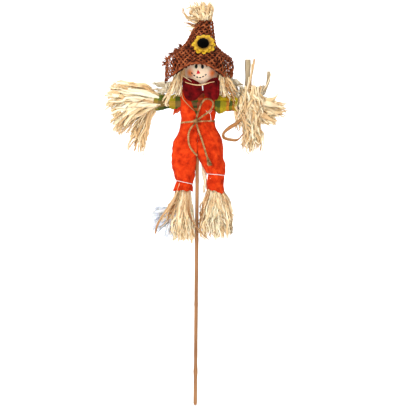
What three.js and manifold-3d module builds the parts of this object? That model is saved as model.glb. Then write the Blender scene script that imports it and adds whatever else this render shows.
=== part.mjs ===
// Scarecrow figure on a stake: a raffia-stuffed doll for a flower pot or a garden bed.
// Millimetres, +Z up along the stake. The origin is the middle of the stake's lower end.
// The figure faces -Y, and "left" is the side at -X, as someone who faces the figure sees it.
import * as THREE from 'three';
import { LoftGeometry } from 'three/addons/geometries/LoftGeometry.js';
import { mergeVertices } from 'three/addons/utils/BufferGeometryUtils.js';
import Module from 'manifold-3d';

const wasm = await Module();
wasm.setup();

// ---------- driving dimensions ----------
const GAP = 0.3;                 // air between two pieces that touch
const STAKE_RADIUS = 2.8;
const STAKE_TOP = 500;           // the stake ends inside the head
const STAKE_BORE = STAKE_RADIUS + GAP;

const HEAD_RADIUS = 25;
const HEAD_CENTRE = new THREE.Vector3(5, 0, 503.7);
const HEAD_COVER = 0.7;          // thickness of the cloth over the ball

const FELT = 1.4;                // thickness of the overalls' felt
const SHIRT = 0.7;               // thickness of the plaid cloth
const WAIST_Z = 427;
const SEAT_BOTTOM_Z = 386.4;
const STUFFING_BOTTOM_Z = 396;

const ARM_Z = 457;
const SHOULDER_X = 29;
const SHOULDER_BALL = 11.5;      // rounded inner end of a sleeve, turns in the armhole
const SHOULDER_FLAT = 0.9;       // its depth against its height
const SHOULDER_POCKET = SHOULDER_BALL + 0.6;
const WIRE_RADIUS = 0.9;
const WIRE_BORE = WIRE_RADIUS + GAP;

const HIP_X = 20.5;
const HIP_Z = 386;
const HIP_BALL = 17;             // rounded top of a leg, turns in the seat
const HIP_DEPTH = 15;
const HIP_POCKET = HIP_BALL + 1.6;
const HIP_POCKET_DEPTH = HIP_DEPTH + 0.9;

const HAT_TOP_X = 10;            // the crown leans to +X
const HAT_CLOTH = 1.8;
const TUFT_TOP_Z = 610;

const TWINE_RADIUS = 1.5;
const THREAD_RADIUS = 0.5;
const RING_SIDES = 14;           // points round a soft form
const CORD_SIDES = 8;

const X_AXIS = new THREE.Vector3(1, 0, 0);
const Y_AXIS = new THREE.Vector3(0, 1, 0);
const Z_AXIS = new THREE.Vector3(0, 0, 1);
const LEFT = -1;
const RIGHT = 1;

// ---------- materials ----------
const finish = (color, roughness, metalness = 0) =>
  new THREE.MeshStandardMaterial({ color, roughness, metalness });

const CANE = finish(0xb98b61, 0.6);
const RAFFIA = finish(0xf0d6ae, 0.75);
const ORANGE_FELT = finish(0xf24c1d, 0.95);
const PLAID = finish(0x6f7a2c, 0.9);
const BURLAP = finish(0x72351c, 0.9);
const RED_FELT = finish(0x6f080b, 0.95);
const SKIN_CLOTH = finish(0xf7cfb5, 0.8);
const FOAM = finish(0xf4f2ea, 0.9);
const FIBREFILL = finish(0xf2f2f0, 1);
const PETAL = finish(0xe0b01c, 0.8);
const SEED = finish(0x100c08, 0.95);
const TWINE = finish(0xb08a58, 0.9);
const THREAD = finish(0xf0eee6, 0.8);
const WIRE = finish(0x8a8a8a, 0.4, 1);

// ---------- solids ----------
function toSolid(geometry) {
  const bare = new THREE.BufferGeometry();
  bare.setAttribute('position', geometry.attributes.position);
  bare.setIndex(geometry.index);
  const merged = mergeVertices(bare, 1e-4);
  return new wasm.Manifold(new wasm.Mesh({
    numProp: 3,
    vertProperties: new Float32Array(merged.attributes.position.array),
    triVerts: new Uint32Array(merged.index.array),
  }));
}

function toGeometry(manifold) {
  const mesh = manifold.getMesh();
  const geometry = new THREE.BufferGeometry();
  geometry.setAttribute('position', new THREE.BufferAttribute(mesh.vertProperties, 3));
  geometry.setIndex(new THREE.BufferAttribute(mesh.triVerts, 1));
  geometry.computeVertexNormals();
  return geometry;
}

const joined = (...geometries) =>
  toGeometry(geometries.map(toSolid).reduce((whole, next) => whole.add(next)));

const cut = (geometry, ...tools) =>
  toGeometry(tools.map(toSolid).reduce((rest, tool) => rest.subtract(tool), toSolid(geometry)));

// A box given by its lowest and highest corners
function boxBetween(low, high) {
  const size = new THREE.Vector3().subVectors(high, low);
  const middle = new THREE.Vector3().addVectors(low, high).multiplyScalar(0.5);
  return new THREE.BoxGeometry(size.x, size.y, size.z).translate(middle.x, middle.y, middle.z);
}

function uprightCylinder(radius, bottom, top, x = 0, sides = 12) {
  return new THREE.CylinderGeometry(radius, radius, top - bottom, sides)
    .rotateX(Math.PI / 2)
    .translate(x, 0, (top + bottom) / 2);
}

// A ring of points: a superellipse with half sizes a and b along the directions u and v
function ringOf(centre, a, b, u = X_AXIS, v = Y_AXIS, power = 2, sides = RING_SIDES) {
  const points = [];
  for (let i = 0; i < sides; i += 1) {
    const angle = (i / sides) * 2 * Math.PI;
    const c = Math.cos(angle);
    const s = Math.sin(angle);
    points.push(centre.clone()
      .addScaledVector(u, a * Math.sign(c) * Math.abs(c) ** (2 / power))
      .addScaledVector(v, b * Math.sign(s) * Math.abs(s) ** (2 / power)));
  }
  return points;
}

const capped = (sections) => new LoftGeometry(sections, { capStart: true, capEnd: true });

// A form along +Z: stations from the bottom up, each [z, centre x, centre y, half width, half depth]
const uprightForm = (stations) => capped(stations.map(([z, x, y, wide, deep]) =>
  ringOf(new THREE.Vector3(x, y, z), wide, deep)));

// A thin skin, open at both ends: up along the outer rings, down along the inner ones
const skin = (outer, inner) =>
  new LoftGeometry([...outer, ...inner.slice().reverse(), outer[0]]);

// A round rod along a smooth curve through the points, with flat ends
function rod(points, radius, steps, sides = CORD_SIDES) {
  const section = new THREE.Shape();
  for (let i = 0; i < sides; i += 1) {
    const angle = (i / sides) * 2 * Math.PI;
    const x = radius * Math.cos(angle);
    const y = radius * Math.sin(angle);
    if (i === 0) section.moveTo(x, y);
    else section.lineTo(x, y);
  }
  const extrudePath = new THREE.CatmullRomCurve3(points.map((p) => new THREE.Vector3(...p)));
  return new THREE.ExtrudeGeometry(section, { steps, extrudePath, bevelEnabled: false });
}

// A hoop of round section, laid as an ellipse in the plane of the directions u and v
function hoop(centre, a, b, tube, u = X_AXIS, v = Y_AXIS, steps = 32, sides = 6) {
  const axis = new THREE.Vector3().crossVectors(u, v);
  const sections = [];
  for (let i = 0; i <= steps; i += 1) {
    const angle = (i % steps) / steps * 2 * Math.PI;
    const c = Math.cos(angle);
    const s = Math.sin(angle);
    const middle = centre.clone().addScaledVector(u, a * c).addScaledVector(v, b * s);
    const outward = new THREE.Vector3().addScaledVector(u, c / a).addScaledVector(v, s / b);
    sections.push(ringOf(middle, tube, tube, axis, outward.normalize(), 2, sides));
  }
  return new LoftGeometry(sections);
}

function place(parent, name, geometry, material) {
  const mesh = new THREE.Mesh(geometry, material);
  mesh.name = name;
  parent.add(mesh);
}

// ---------- trunk: one outline, from which every layer is set in ----------
// [z, centre x, half width, half depth, squareness]
const TRUNK = [
  [SEAT_BOTTOM_Z, 0.5, 36.5, 18.5, 3],
  [393, 1.4, 35.5, 18.5, 2.9],
  [401, 1.8, 33.6, 18.2, 2.8],
  [410, 1.2, 30.5, 16.8, 2.5],
  [420, 0.6, 26, 15, 2.3],
  [WAIST_Z, 0.2, 23.8, 14, 2.2],
  [437, 0, 25.5, 14.3, 2.2],
  [448, -0.3, 27.5, 14.8, 2.2],
  [460, -0.5, 29, 14.8, 2.2],
  [469, -0.5, 27.7, 13.4, 2.2],
  [475, -0.3, 22.5, 11, 2.1],
  [478, 0, 13.5, 8.6, 2],
];

// A ring of the trunk at station i, moved in by inset along the outline's normal
function trunkRing(i, inset) {
  const [z, x, wide, deep, power] = TRUNK[i];
  const lower = TRUNK[Math.max(i - 1, 0)];
  const upper = TRUNK[Math.min(i + 1, TRUNK.length - 1)];
  const slope = new THREE.Vector2(upper[2] - lower[2], upper[0] - lower[0]).normalize();
  const centre = new THREE.Vector3(x, 0, z + inset * slope.x);
  return ringOf(centre, wide - inset * slope.y, deep - inset * slope.y, X_AXIS, Y_AXIS, power);
}

const trunkRings = (inset) => TRUNK.map((_, i) => trunkRing(i, inset));
const trunkSkin = (inset, thickness) => skin(trunkRings(inset), trunkRings(inset + thickness));
const trunkCore = (inset) => capped(trunkRings(inset));

// Everything of the trunk outside the heights that a piece covers
const WIDE = 60;
const below = (z) => boxBetween(new THREE.Vector3(-WIDE, -WIDE, z - 200),
  new THREE.Vector3(WIDE, WIDE, z));
const above = (z) => boxBetween(new THREE.Vector3(-WIDE, -WIDE, z),
  new THREE.Vector3(WIDE, WIDE, z + 200));

const pocket = (side, x, z, radius, depth) => new THREE.SphereGeometry(1, 16, 10)
  .scale(radius, depth, radius)
  .translate(side * x, 0, z);
const armhole = (side) =>
  pocket(side, SHOULDER_X, ARM_Z, SHOULDER_POCKET, SHOULDER_POCKET * SHOULDER_FLAT);
const hipPocket = (side) => pocket(side, HIP_X, HIP_Z, HIP_POCKET, HIP_POCKET_DEPTH);

// The wire that stiffens the arms passes behind the stake
const SHOULDER_WIRE = [[-16.5, 0, ARM_Z], [-8, 2.6, ARM_Z], [0, 4.9, ARM_Z], [8, 2.6, ARM_Z],
  [16.5, 0, ARM_Z]];
const SHOULDER_WIRE_BORE = [[-20, -0.6, ARM_Z], ...SHOULDER_WIRE, [20, -0.6, ARM_Z]];

function buildTrunk(figure) {
  const shirtInset = FELT + GAP;
  const stuffingInset = shirtInset + SHIRT + GAP;
  place(figure, 'body_stuffing', cut(trunkCore(stuffingInset), below(STUFFING_BOTTOM_Z),
    uprightCylinder(STAKE_BORE, 300, 500), armhole(LEFT), armhole(RIGHT),
    hipPocket(LEFT), hipPocket(RIGHT), rod(SHOULDER_WIRE_BORE, WIRE_BORE, 14)), FIBREFILL);
  place(figure, 'shirt_body', cut(trunkSkin(shirtInset, SHIRT), below(WAIST_Z - 12),
    armhole(LEFT), armhole(RIGHT)), PLAID);
  place(figure, 'shoulder_wire', rod(SHOULDER_WIRE, WIRE_RADIUS, 10, 6), WIRE);

  // The front of the overalls is open in a V, where the shirt shows
  const vNeck = new THREE.Shape();
  vNeck.moveTo(-1.5, WAIST_Z + 9);
  vNeck.lineTo(10, 472);
  vNeck.lineTo(12, 490);
  vNeck.lineTo(-15, 490);
  vNeck.lineTo(-13, 472);
  const vTool = new THREE.ExtrudeGeometry(vNeck, { depth: 40, bevelEnabled: false })
    .rotateX(Math.PI / 2);
  place(figure, 'overalls_top', cut(trunkSkin(0, FELT), below(WAIST_Z + GAP), vTool,
    armhole(LEFT), armhole(RIGHT)), ORANGE_FELT);

  // The seat is two halves, sewn together down the middle
  for (const [name, side] of [['seat_left', LEFT], ['seat_right', RIGHT]]) {
    const far = boxBetween(new THREE.Vector3(-WIDE, -WIDE, 300), new THREE.Vector3(0, WIDE, 500))
      .translate(side === LEFT ? WIDE - GAP / 2 : GAP / 2, 0, 0);
    place(figure, name, cut(trunkSkin(0, FELT), above(WAIST_Z), far, hipPocket(side)),
      ORANGE_FELT);
  }
}

// ---------- stake ----------
function buildStake(figure) {
  // A natural cane: a rounded lower end, a knot near it, and a square upper end
  const profile = [[0, 0], [2.2, 0], [STAKE_RADIUS, 3], [STAKE_RADIUS, 42], [3.1, 50],
    [STAKE_RADIUS, 56], [2.6, 66], [STAKE_RADIUS, 78], [STAKE_RADIUS, 249], [2.7, 252],
    [2.7, STAKE_TOP], [0, STAKE_TOP]].map(([r, z]) => new THREE.Vector2(r, z));
  place(figure, 'stake', new THREE.LatheGeometry(profile, 12).rotateX(Math.PI / 2), CANE);
}

// ---------- head, hair and hat ----------
function buildHead(figure) {
  const head = new THREE.Group();
  head.position.copy(HEAD_CENTRE);
  figure.add(head);
  const stakeX = -HEAD_CENTRE.x;
  const ballRadius = HEAD_RADIUS - HEAD_COVER - GAP;
  const boreTop = STAKE_TOP + GAP - HEAD_CENTRE.z;
  const ball = (radius) => new THREE.SphereGeometry(radius, 18, 12).rotateX(Math.PI / 2);
  place(head, 'head_ball',
    cut(ball(ballRadius), uprightCylinder(STAKE_BORE, -2 * HEAD_RADIUS, boreTop, stakeX)), FOAM);
  place(head, 'head_cover', cut(ball(HEAD_RADIUS), ball(HEAD_RADIUS - HEAD_COVER),
    uprightCylinder(6, -2 * HEAD_RADIUS, 0, stakeX)), SKIN_CLOTH);
  place(figure, 'neck_tie', hoop(new THREE.Vector3(0, 0, 477), 4.6, 4.6, 1, X_AXIS, Y_AXIS, 16),
    THREAD);
}

// Hair of loose raffia: [z, x, y, half width, half depth] from the lower end up
const HAIR_LEFT = [[453, -38, -21, 12, 3.4], [462, -35, -21, 11, 3.6], [475, -32, -19, 8.5, 3.8],
  [490, -30, -13, 6.5, 5], [512, -28, -6, 5, 8]];
const HAIR_RIGHT = [[458, 46, -20, 9, 3.4], [466, 42, -20, 9, 3.6], [477, 38, -18, 7, 3.8],
  [490, 35, -12, 5, 5], [512, 34.5, -5, 4.5, 8]];
const HAIR_BACK = [[464, 1, 22.5, 19, 3.5], [478, 2, 25.5, 18, 3.5], [492, 3, 29.5, 16, 3.5],
  [514, 4, 30.5, 14, 3.5]];
const HAT_TUFT = [[529.2, 5, 0, 6, 6], [545, 6, 0, 9, 9], [565, 8.5, 0, 9.2, 9.2],
  [581, HAT_TOP_X, 0, 9.4, 9.4], [590, 6, 0, 15, 14], [601, 0, 0, 23, 18],
  [TUFT_TOP_Z, -3, 0, 22, 15]];

function buildHair(figure) {
  place(figure, 'hair_left', uprightForm(HAIR_LEFT), RAFFIA);
  place(figure, 'hair_right', uprightForm(HAIR_RIGHT), RAFFIA);
  place(figure, 'hair_back', uprightForm(HAIR_BACK), RAFFIA);
  place(figure, 'hat_tuft', uprightForm(HAT_TUFT), RAFFIA);
  place(figure, 'chest_strand', rod([[-24.5, -27, 498], [-24, -27.5, 478], [-22.5, -27, 462],
    [-14, -21.5, 451], [-5, -17.6, 443]], 1, 14, 6), RAFFIA);
}

// The hat's cloth from the crown to the edge of the brim, as [radius, z], seen from three sides:
// it falls in a straight cone in front, and the brim droops at the sides
const outline = (points) => new THREE.SplineCurve(points.map(([r, z]) => new THREE.Vector2(r, z)));
const HAT_FRONT = outline([[12, 579], [19, 565], [26, 551.5], [34, 537], [41, 523.5], [46, 514]]);
const HAT_SIDE = outline([[12, 579], [17.5, 560], [24, 543.5], [37, 532], [50, 519], [50, 487]]);
const HAT_BACK = outline([[12, 579], [18, 563], [26, 548], [36, 535], [44, 521], [48, 500]]);
const HAT_ROWS = 8;
const HAT_COLUMNS = 24;

function hatRow(s, inset) {
  const points = [];
  for (let i = 0; i < HAT_COLUMNS; i += 1) {
    const angle = (i / HAT_COLUMNS) * 2 * Math.PI;
    const sideways = Math.cos(angle) ** 2;
    const facing = Math.sin(angle) < 0 ? HAT_FRONT : HAT_BACK;
    const at = facing.getPoint(s).lerp(HAT_SIDE.getPoint(s), sideways);
    const along = facing.getTangent(s).lerp(HAT_SIDE.getTangent(s), sideways).normalize();
    const radius = at.x + inset * along.y;
    const z = at.y - inset * along.x;
    const lean = HAT_TOP_X * (1 - s) ** 2;
    points.push(new THREE.Vector3(lean + radius * Math.cos(angle), radius * Math.sin(angle), z));
  }
  return points;
}

function buildHat(figure) {
  // Rows run from the brim up, so that the rings climb
  const rows = (inset) => Array.from({ length: HAT_ROWS + 1 },
    (_, i) => hatRow(1 - i / HAT_ROWS, inset));
  place(figure, 'hat', skin(rows(0), rows(HAT_CLOTH)), BURLAP);
}

// A sunflower of cloth on the front of the crown
const FLOWER_RADIUS = 18;
const FLOWER_EYE = 8.5;
const PETALS = 13;
const FLOWER_TILT = THREE.MathUtils.degToRad(62);
const FLOWER_CENTRE = new THREE.Vector3(8, -33.5, 543.5);

function buildFlower(figure) {
  const flower = new THREE.Group();
  flower.position.copy(FLOWER_CENTRE);
  flower.rotation.x = FLOWER_TILT;
  figure.add(flower);
  const petals = new THREE.Shape();
  const steps = PETALS * 4;
  for (let i = 0; i < steps; i += 1) {
    const angle = (i / steps) * 2 * Math.PI;
    const reach = Math.abs(Math.sin((PETALS / 2) * angle)) ** 0.7;
    const radius = THREE.MathUtils.lerp(FLOWER_EYE + 2, FLOWER_RADIUS, reach);
    if (i === 0) petals.moveTo(radius, 0);
    else petals.lineTo(radius * Math.cos(angle), radius * Math.sin(angle));
  }
  place(flower, 'flower_petals',
    new THREE.ExtrudeGeometry(petals, { depth: 2, bevelEnabled: false }), PETAL);
  const dome = [[0, 0], [FLOWER_EYE, 0], [8, 2.2], [5.5, 4], [0, 4.8]];
  const eye = new THREE.LatheGeometry(dome.map(([r, z]) => new THREE.Vector2(r, z)), 14)
    .rotateX(Math.PI / 2)
    .translate(-1, 0.8, 2 + GAP);
  place(flower, 'flower_center', eye, SEED);
}

// ---------- bow tie ----------
const BOW_FRONT_Y = -25;
const BOW_DEPTH = 6;

function buildBow(figure) {
  const bow = new THREE.Shape();
  bow.moveTo(-22, 492);
  bow.quadraticCurveTo(-8, 491, 6.9, 482);
  bow.quadraticCurveTo(18, 491, 28, 492);
  bow.quadraticCurveTo(31, 476, 26, 459.5);
  bow.quadraticCurveTo(15, 461, 8.2, 468.4);
  bow.quadraticCurveTo(-1, 458, -13, 456.5);
  bow.quadraticCurveTo(-21, 474, -22, 492);
  const cloth = new THREE.ExtrudeGeometry(bow, { depth: BOW_DEPTH, bevelEnabled: false,
    curveSegments: 5 }).rotateX(Math.PI / 2).translate(0, BOW_FRONT_Y + BOW_DEPTH, 0);
  place(figure, 'bow_cloth', cloth, RED_FELT);
  const front = BOW_FRONT_Y - GAP - THREAD_RADIUS;
  place(figure, 'bow_thread', rod([[6.7, front, 479], [6.9, front, 476], [7.6, front, 473]],
    THREAD_RADIUS, 4, 6), THREAD);
  place(figure, 'bow_strand', rod([[-21, front, 487], [-8, front, 484.5], [4.5, front, 480.6],
    [9, front, 480.8], [26, front, 486]], 0.8, 12, 5), RAFFIA);
}

// ---------- twine belt with its bow ----------
const BELT_CENTRE = new THREE.Vector3(0.2, 0, 426.6);
const KNOT = new THREE.Vector3(-2.5, -20.9, 427);
const LOOP_Y = -18.6;
const TAIL_Y = -21.2;
// The loop leaves the knot upwards, lies on the chest and comes back to the knot
const LOOP_ROUTE = [[-1.9, LOOP_Y - 1.4, 430.6], [-0.9, LOOP_Y, 435], [1, LOOP_Y, 441],
  [3.6, LOOP_Y, 448.5], [6.4, LOOP_Y, 454.5], [10.2, LOOP_Y, 459], [15.5, LOOP_Y, 460.4],
  [20.2, LOOP_Y, 458.6], [23, LOOP_Y, 454.6], [22.4, LOOP_Y, 449], [19.4, LOOP_Y, 444.2],
  [15, LOOP_Y, 440], [10.4, LOOP_Y, 436.6], [6, LOOP_Y, 433.4], [1.3, LOOP_Y - 1.2, 429.6]];
const TAIL_LEFT_ROUTE = [[-4.2, TAIL_Y, 423.4], [-6.8, TAIL_Y, 420.2], [-9.4, TAIL_Y, 416.9],
  [-11.6, TAIL_Y, 413], [-13, TAIL_Y, 408.6], [-13.6, TAIL_Y, 404], [-13.6, TAIL_Y, 399.2],
  [-13, TAIL_Y, 394.4], [-11.5, TAIL_Y, 389.8], [-9.2, TAIL_Y, 385.4], [-6.4, TAIL_Y, 381.6],
  [-3.4, TAIL_Y, 378.4], [-0.4, TAIL_Y, 375.6]];
const TAIL_RIGHT_ROUTE = [[-1.6, TAIL_Y, 422.8], [-0.4, TAIL_Y, 419], [0.8, TAIL_Y, 415],
  [2.2, TAIL_Y, 411], [3.7, TAIL_Y, 407], [5.2, TAIL_Y, 403], [6.6, TAIL_Y, 399],
  [7.9, TAIL_Y, 395], [9.2, TAIL_Y, 391], [10.4, TAIL_Y, 387], [11.6, TAIL_Y, 383],
  [12.8, TAIL_Y, 379], [14, TAIL_Y, 375]];

function buildBelt(figure) {
  const tilt = new THREE.Vector3(1, 0, 0.06).normalize();
  place(figure, 'belt_twine',
    hoop(BELT_CENTRE, 27, 16.8, TWINE_RADIUS, tilt, Y_AXIS, 28, 6), TWINE);
  const knot = new THREE.SphereGeometry(1, 12, 8).scale(4, 2.2, 3.2)
    .translate(KNOT.x, KNOT.y, KNOT.z);
  place(figure, 'belt_knot', knot, TWINE);
  place(figure, 'bow_loop', rod(LOOP_ROUTE, TWINE_RADIUS, 26), TWINE);
  place(figure, 'belt_tail_left', rod(TAIL_LEFT_ROUTE, TWINE_RADIUS, 18), TWINE);
  place(figure, 'belt_tail_right', rod(TAIL_RIGHT_ROUTE, TWINE_RADIUS, 16), TWINE);
  place(figure, 'tail_fray', uprightForm([[361, 18.6, TAIL_Y, 3.6, 1.8], [367, 17, TAIL_Y, 3, 1.7],
    [374 - GAP, 14.4, TAIL_Y, 1.5, 1.5]]), TWINE);
  place(figure, 'belt_thread', rod([[17.5, -15.2, 440], [19, -16, 436], [20.5, -15.6, 431.5]],
    THREAD_RADIUS, 4, 6), THREAD);
}

// ---------- arms ----------
// A form out along an arm: stations [distance, half height, half depth, rise above the shoulder]
function armForm(side, stations) {
  const [u, v] = side === RIGHT ? [Y_AXIS, Z_AXIS] : [Z_AXIS, Y_AXIS];
  return capped(stations.map(([out, tall, deep, rise = 0]) => {
    const [a, b] = side === RIGHT ? [deep, tall] : [tall, deep];
    return ringOf(new THREE.Vector3(side * out, 0, rise), a, b, u, v);
  }));
}

// Rings of a ball end, from near its inner pole out to its equator, as arm stations
function ballStations(radius, flat) {
  return [25, 52, 78].map((degrees) => {
    const turn = THREE.MathUtils.degToRad(degrees);
    const reach = radius * Math.sin(turn);
    return [-radius * Math.cos(turn), reach, reach * flat];
  });
}

const SLEEVE_START = [[0, 11.5, 10.35], [7, 10.6, 9.8], [13.5, 9, 8.6], [20, 10.6, 9.8]];
const ARM_ROLL = 7.4;            // radius of the raffia roll inside a sleeve
const ARM_ROLL_END = 26;

const ARMS = [
  {
    name: 'left',
    side: LEFT,
    cuff: [[29, 13, 11.5], [36.5, 14.2, 12.2]],
    hand: [[27, 7.4, 7.2], [33, 8, 7.6], [38.5, 12, 10, -1], [56, 20, 14, -2], [84, 28, 17, -4],
      [106, 33, 15, -4.5], [112.5, 25, 9, -4.5]],
    // Strands that hang from the hand: [z, x, y, half width, half depth] from the shoulder
    droop: [[-75, -64, 0, 12, 5], [-50, -63, 0, 15, 8], [-15, -62, 0, 17, 10]],
  },
  {
    name: 'right',
    side: RIGHT,
    cuff: [[30, 14, 12]],
    hand: [[27, 7.4, 7.2], [30.5, 8, 7.6], [33, 10.5, 9, -1], [42, 21, 15, -3], [53, 27, 17, -5],
      [66, 22, 15, -7], [85, 14, 10, -9], [106, 8, 5, -11]],
    droop: [[-78, 54, 0, 15, 6], [-50, 54, 0, 18, 9], [-15, 52, 0, 20, 12]],
    spikes: [[10, 54, 0, 15, 10], [35, 61, 0, 17, 8], [58, 68, 0, 16, 5]],
  },
];

function buildArm(figure, { name, side, cuff, hand, droop, spikes }) {
  const arm = new THREE.Group();
  arm.position.set(side * SHOULDER_X, 0, ARM_Z);
  figure.add(arm);
  const outer = [...ballStations(SHOULDER_BALL, SHOULDER_FLAT), ...SLEEVE_START, ...cuff];
  const inner = [...ballStations(SHOULDER_BALL - SHIRT, SHOULDER_FLAT),
    ...[...SLEEVE_START, ...cuff].map(([out, tall, deep]) => [out, tall - SHIRT, deep - SHIRT])];
  const [end, tall, deep] = inner[inner.length - 1];
  inner.push([end + 5, tall + 1, deep + 1]);
  place(arm, `${name}_sleeve`, cut(armForm(side, outer), armForm(side, inner)), PLAID);

  const roll = [[WIRE_BORE, -5], [ARM_ROLL, -5], [ARM_ROLL, ARM_ROLL_END],
    [WIRE_BORE, ARM_ROLL_END], [WIRE_BORE, -5]];
  place(arm, `${name}_arm_roll`, new THREE.LatheGeometry(
    roll.map(([r, out]) => new THREE.Vector2(r, out)), 12).rotateZ(-side * Math.PI / 2), RAFFIA);
  place(arm, `${name}_arm_wire`, armForm(side, [[-4.5, WIRE_RADIUS, WIRE_RADIUS],
    [ARM_ROLL_END - GAP, WIRE_RADIUS, WIRE_RADIUS]]), WIRE);
  place(arm, `${name}_wrist_wire`,
    hoop(new THREE.Vector3(side * 28.8, 0, 0), 8.8, 8.6, 0.5, Y_AXIS, Z_AXIS, 14, 4), WIRE);

  const fans = [uprightForm(droop)];
  if (spikes) fans.push(uprightForm(spikes));
  place(arm, `${name}_hand_raffia`, joined(armForm(side, hand), ...fans), RAFFIA);
}

// ---------- legs ----------
// Stations from the cuff up to the hip, [z, x, half width, half depth] in the figure's frame
const LEGS = [
  {
    name: 'left',
    side: LEFT,
    cloth: [[325, -22, 14, 11.5], [333, -19.5, 12.6, 10], [339, -18.4, 12, 9.5],
      [350, -19.8, 15, 12], [362, -20.7, 17.2, 14.5], [376, -20.6, 17.2, 15]],
    tie: { z: 338.7, x: -19.2, slope: -0.24 },
    foot: [[254, -20, 15, 12], [266, -24, 20, 15], [285, -25, 20, 15.5], [308, -23.5, 16, 13],
      [325, -21.8, 12.3, 9.6], [333, -19.5, 10.6, 8], [338, -18.5, 9.8, 7.4], [344, -18.8, 9, 7]],
  },
  {
    name: 'right',
    side: RIGHT,
    cloth: [[325, 26.8, 12.6, 11], [337, 27.2, 12, 10.2], [347.5, 28, 12, 9.6],
      [356, 26.2, 15.4, 12.6], [364, 24.6, 16.6, 14.5], [377, 21.7, 17.2, 15]],
    tie: { z: 347.6, x: 28, slope: -0.08 },
    foot: [[254, 27, 21, 14], [266, 28, 22, 16], [285, 28, 20, 16], [308, 27.5, 15, 13],
      [325, 26.8, 11, 9.2], [337, 27.2, 10.2, 8.2], [347, 28, 9.8, 7.6], [351.5, 27.4, 9, 7]],
  },
];

function buildLeg(figure, { name, side, cloth, tie, foot }) {
  const leg = new THREE.Group();
  leg.position.set(side * HIP_X, 0, HIP_Z);
  figure.add(leg);
  const fromHip = ([z, x, wide, deep]) => [z - HIP_Z, x - side * HIP_X, 0, wide, deep];
  const hipBall = (inset) => [90, 65, 40, 16].map((degrees) => {
    const turn = THREE.MathUtils.degToRad(degrees);
    return [(HIP_BALL - inset) * Math.cos(turn), 0, 0, (HIP_BALL - inset) * Math.sin(turn),
      (HIP_DEPTH - inset) * Math.sin(turn)];
  });
  const legRings = (inset) => [
    ...cloth.map(fromHip).map(([z, x, y, wide, deep]) => [z, x, y, wide - inset, deep - inset]),
    ...hipBall(inset)];
  const inner = legRings(FELT);
  const [z, x, y, wide, deep] = inner[0];
  inner.unshift([z - 5, x, y, wide + 1, deep + 1]);
  place(leg, `${name}_trouser_leg`, cut(uprightForm(legRings(0)), uprightForm(inner)),
    ORANGE_FELT);

  // The stuffing stops above the tie, where the raffia of the foot begins
  const footTop = foot[foot.length - 1][0] + GAP - HIP_Z;
  place(leg, `${name}_leg_stuffing`, cut(uprightForm(legRings(FELT + GAP)),
    below(footTop)), FIBREFILL);
  place(leg, `${name}_foot_raffia`, uprightForm(foot.map(fromHip)), RAFFIA);
  const slope = new THREE.Vector3(1, 0, tie.slope).normalize();
  place(leg, `${name}_ankle_tie`, hoop(new THREE.Vector3(tie.x - side * HIP_X, 0, tie.z - HIP_Z),
    14.4, 11.4, 0.8, slope, Y_AXIS, 20, 5), THREAD);
}

// ---------- the whole figure ----------
const figure = new THREE.Group();
buildStake(figure);
buildTrunk(figure);
buildHead(figure);
buildHair(figure);
buildHat(figure);
buildFlower(figure);
buildBow(figure);
buildBelt(figure);
ARMS.forEach((arm) => buildArm(figure, arm));
LEGS.forEach((leg) => buildLeg(figure, leg));

export default figure;
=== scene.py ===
# %% [markdown]
# # A scarecrow doll on a cane stake
# The doll is a stuffed felt jumpsuit on a cane, with plaid sleeves, a woven hat and bunches of
# raffia for hair, hands and feet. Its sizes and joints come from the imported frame. This file
# makes the surfaces around that frame. Every new shape is worked out with numpy as a whole
# array of points in millimetres, and every colour is a small graph of shader nodes.

# %% Load the frame
import math

import bpy
import numpy as np
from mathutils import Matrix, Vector


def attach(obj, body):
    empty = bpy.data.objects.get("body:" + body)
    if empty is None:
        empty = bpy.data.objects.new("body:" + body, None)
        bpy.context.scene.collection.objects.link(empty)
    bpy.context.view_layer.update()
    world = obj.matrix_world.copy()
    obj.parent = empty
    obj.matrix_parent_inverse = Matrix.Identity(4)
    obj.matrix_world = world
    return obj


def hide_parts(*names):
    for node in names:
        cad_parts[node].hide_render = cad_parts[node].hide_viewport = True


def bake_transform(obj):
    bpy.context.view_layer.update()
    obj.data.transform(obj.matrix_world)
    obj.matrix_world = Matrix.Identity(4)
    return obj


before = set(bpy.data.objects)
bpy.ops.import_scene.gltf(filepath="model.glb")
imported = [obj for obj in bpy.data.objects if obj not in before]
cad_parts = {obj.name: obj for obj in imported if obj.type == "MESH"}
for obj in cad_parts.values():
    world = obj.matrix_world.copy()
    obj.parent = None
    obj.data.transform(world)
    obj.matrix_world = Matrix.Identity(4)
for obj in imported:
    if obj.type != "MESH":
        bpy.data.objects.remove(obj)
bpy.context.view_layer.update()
MM = 0.001
TAU = 2 * math.pi
SIDES = (("left", -1), ("right", 1))
SHOULDER = np.array([29.0, 0.0, 457.0])     # the right arm's pivot; the left one is its mirror

# %% [markdown]
# ## Studio
# A long lens far away keeps the slender figure free of perspective stretch. The camera stands
# level at half the figure's height and is rolled by half a degree, so the stake leans a little.
# A white sweep and large soft lights give the even light of a shop picture. Standard colour
# management keeps the orange as strong as it is.

# %% Camera, floor and lights
LENS_DISTANCE = 2.4
PICTURE_WIDTH = 0.6273
SENSOR = 36.0

scene = bpy.context.scene
scene.view_settings.view_transform = "Standard"
camera_data = bpy.data.cameras.new("camera")
camera_data.sensor_width = SENSOR
camera_data.lens = SENSOR * LENS_DISTANCE / PICTURE_WIDTH
camera = bpy.data.objects.new("camera", camera_data)
camera.location = (0.0167, -LENS_DISTANCE, 0.2971)
camera.rotation_euler = (math.pi / 2, -math.radians(0.476), 0)
scene.collection.objects.link(camera)
scene.camera = camera


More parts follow.
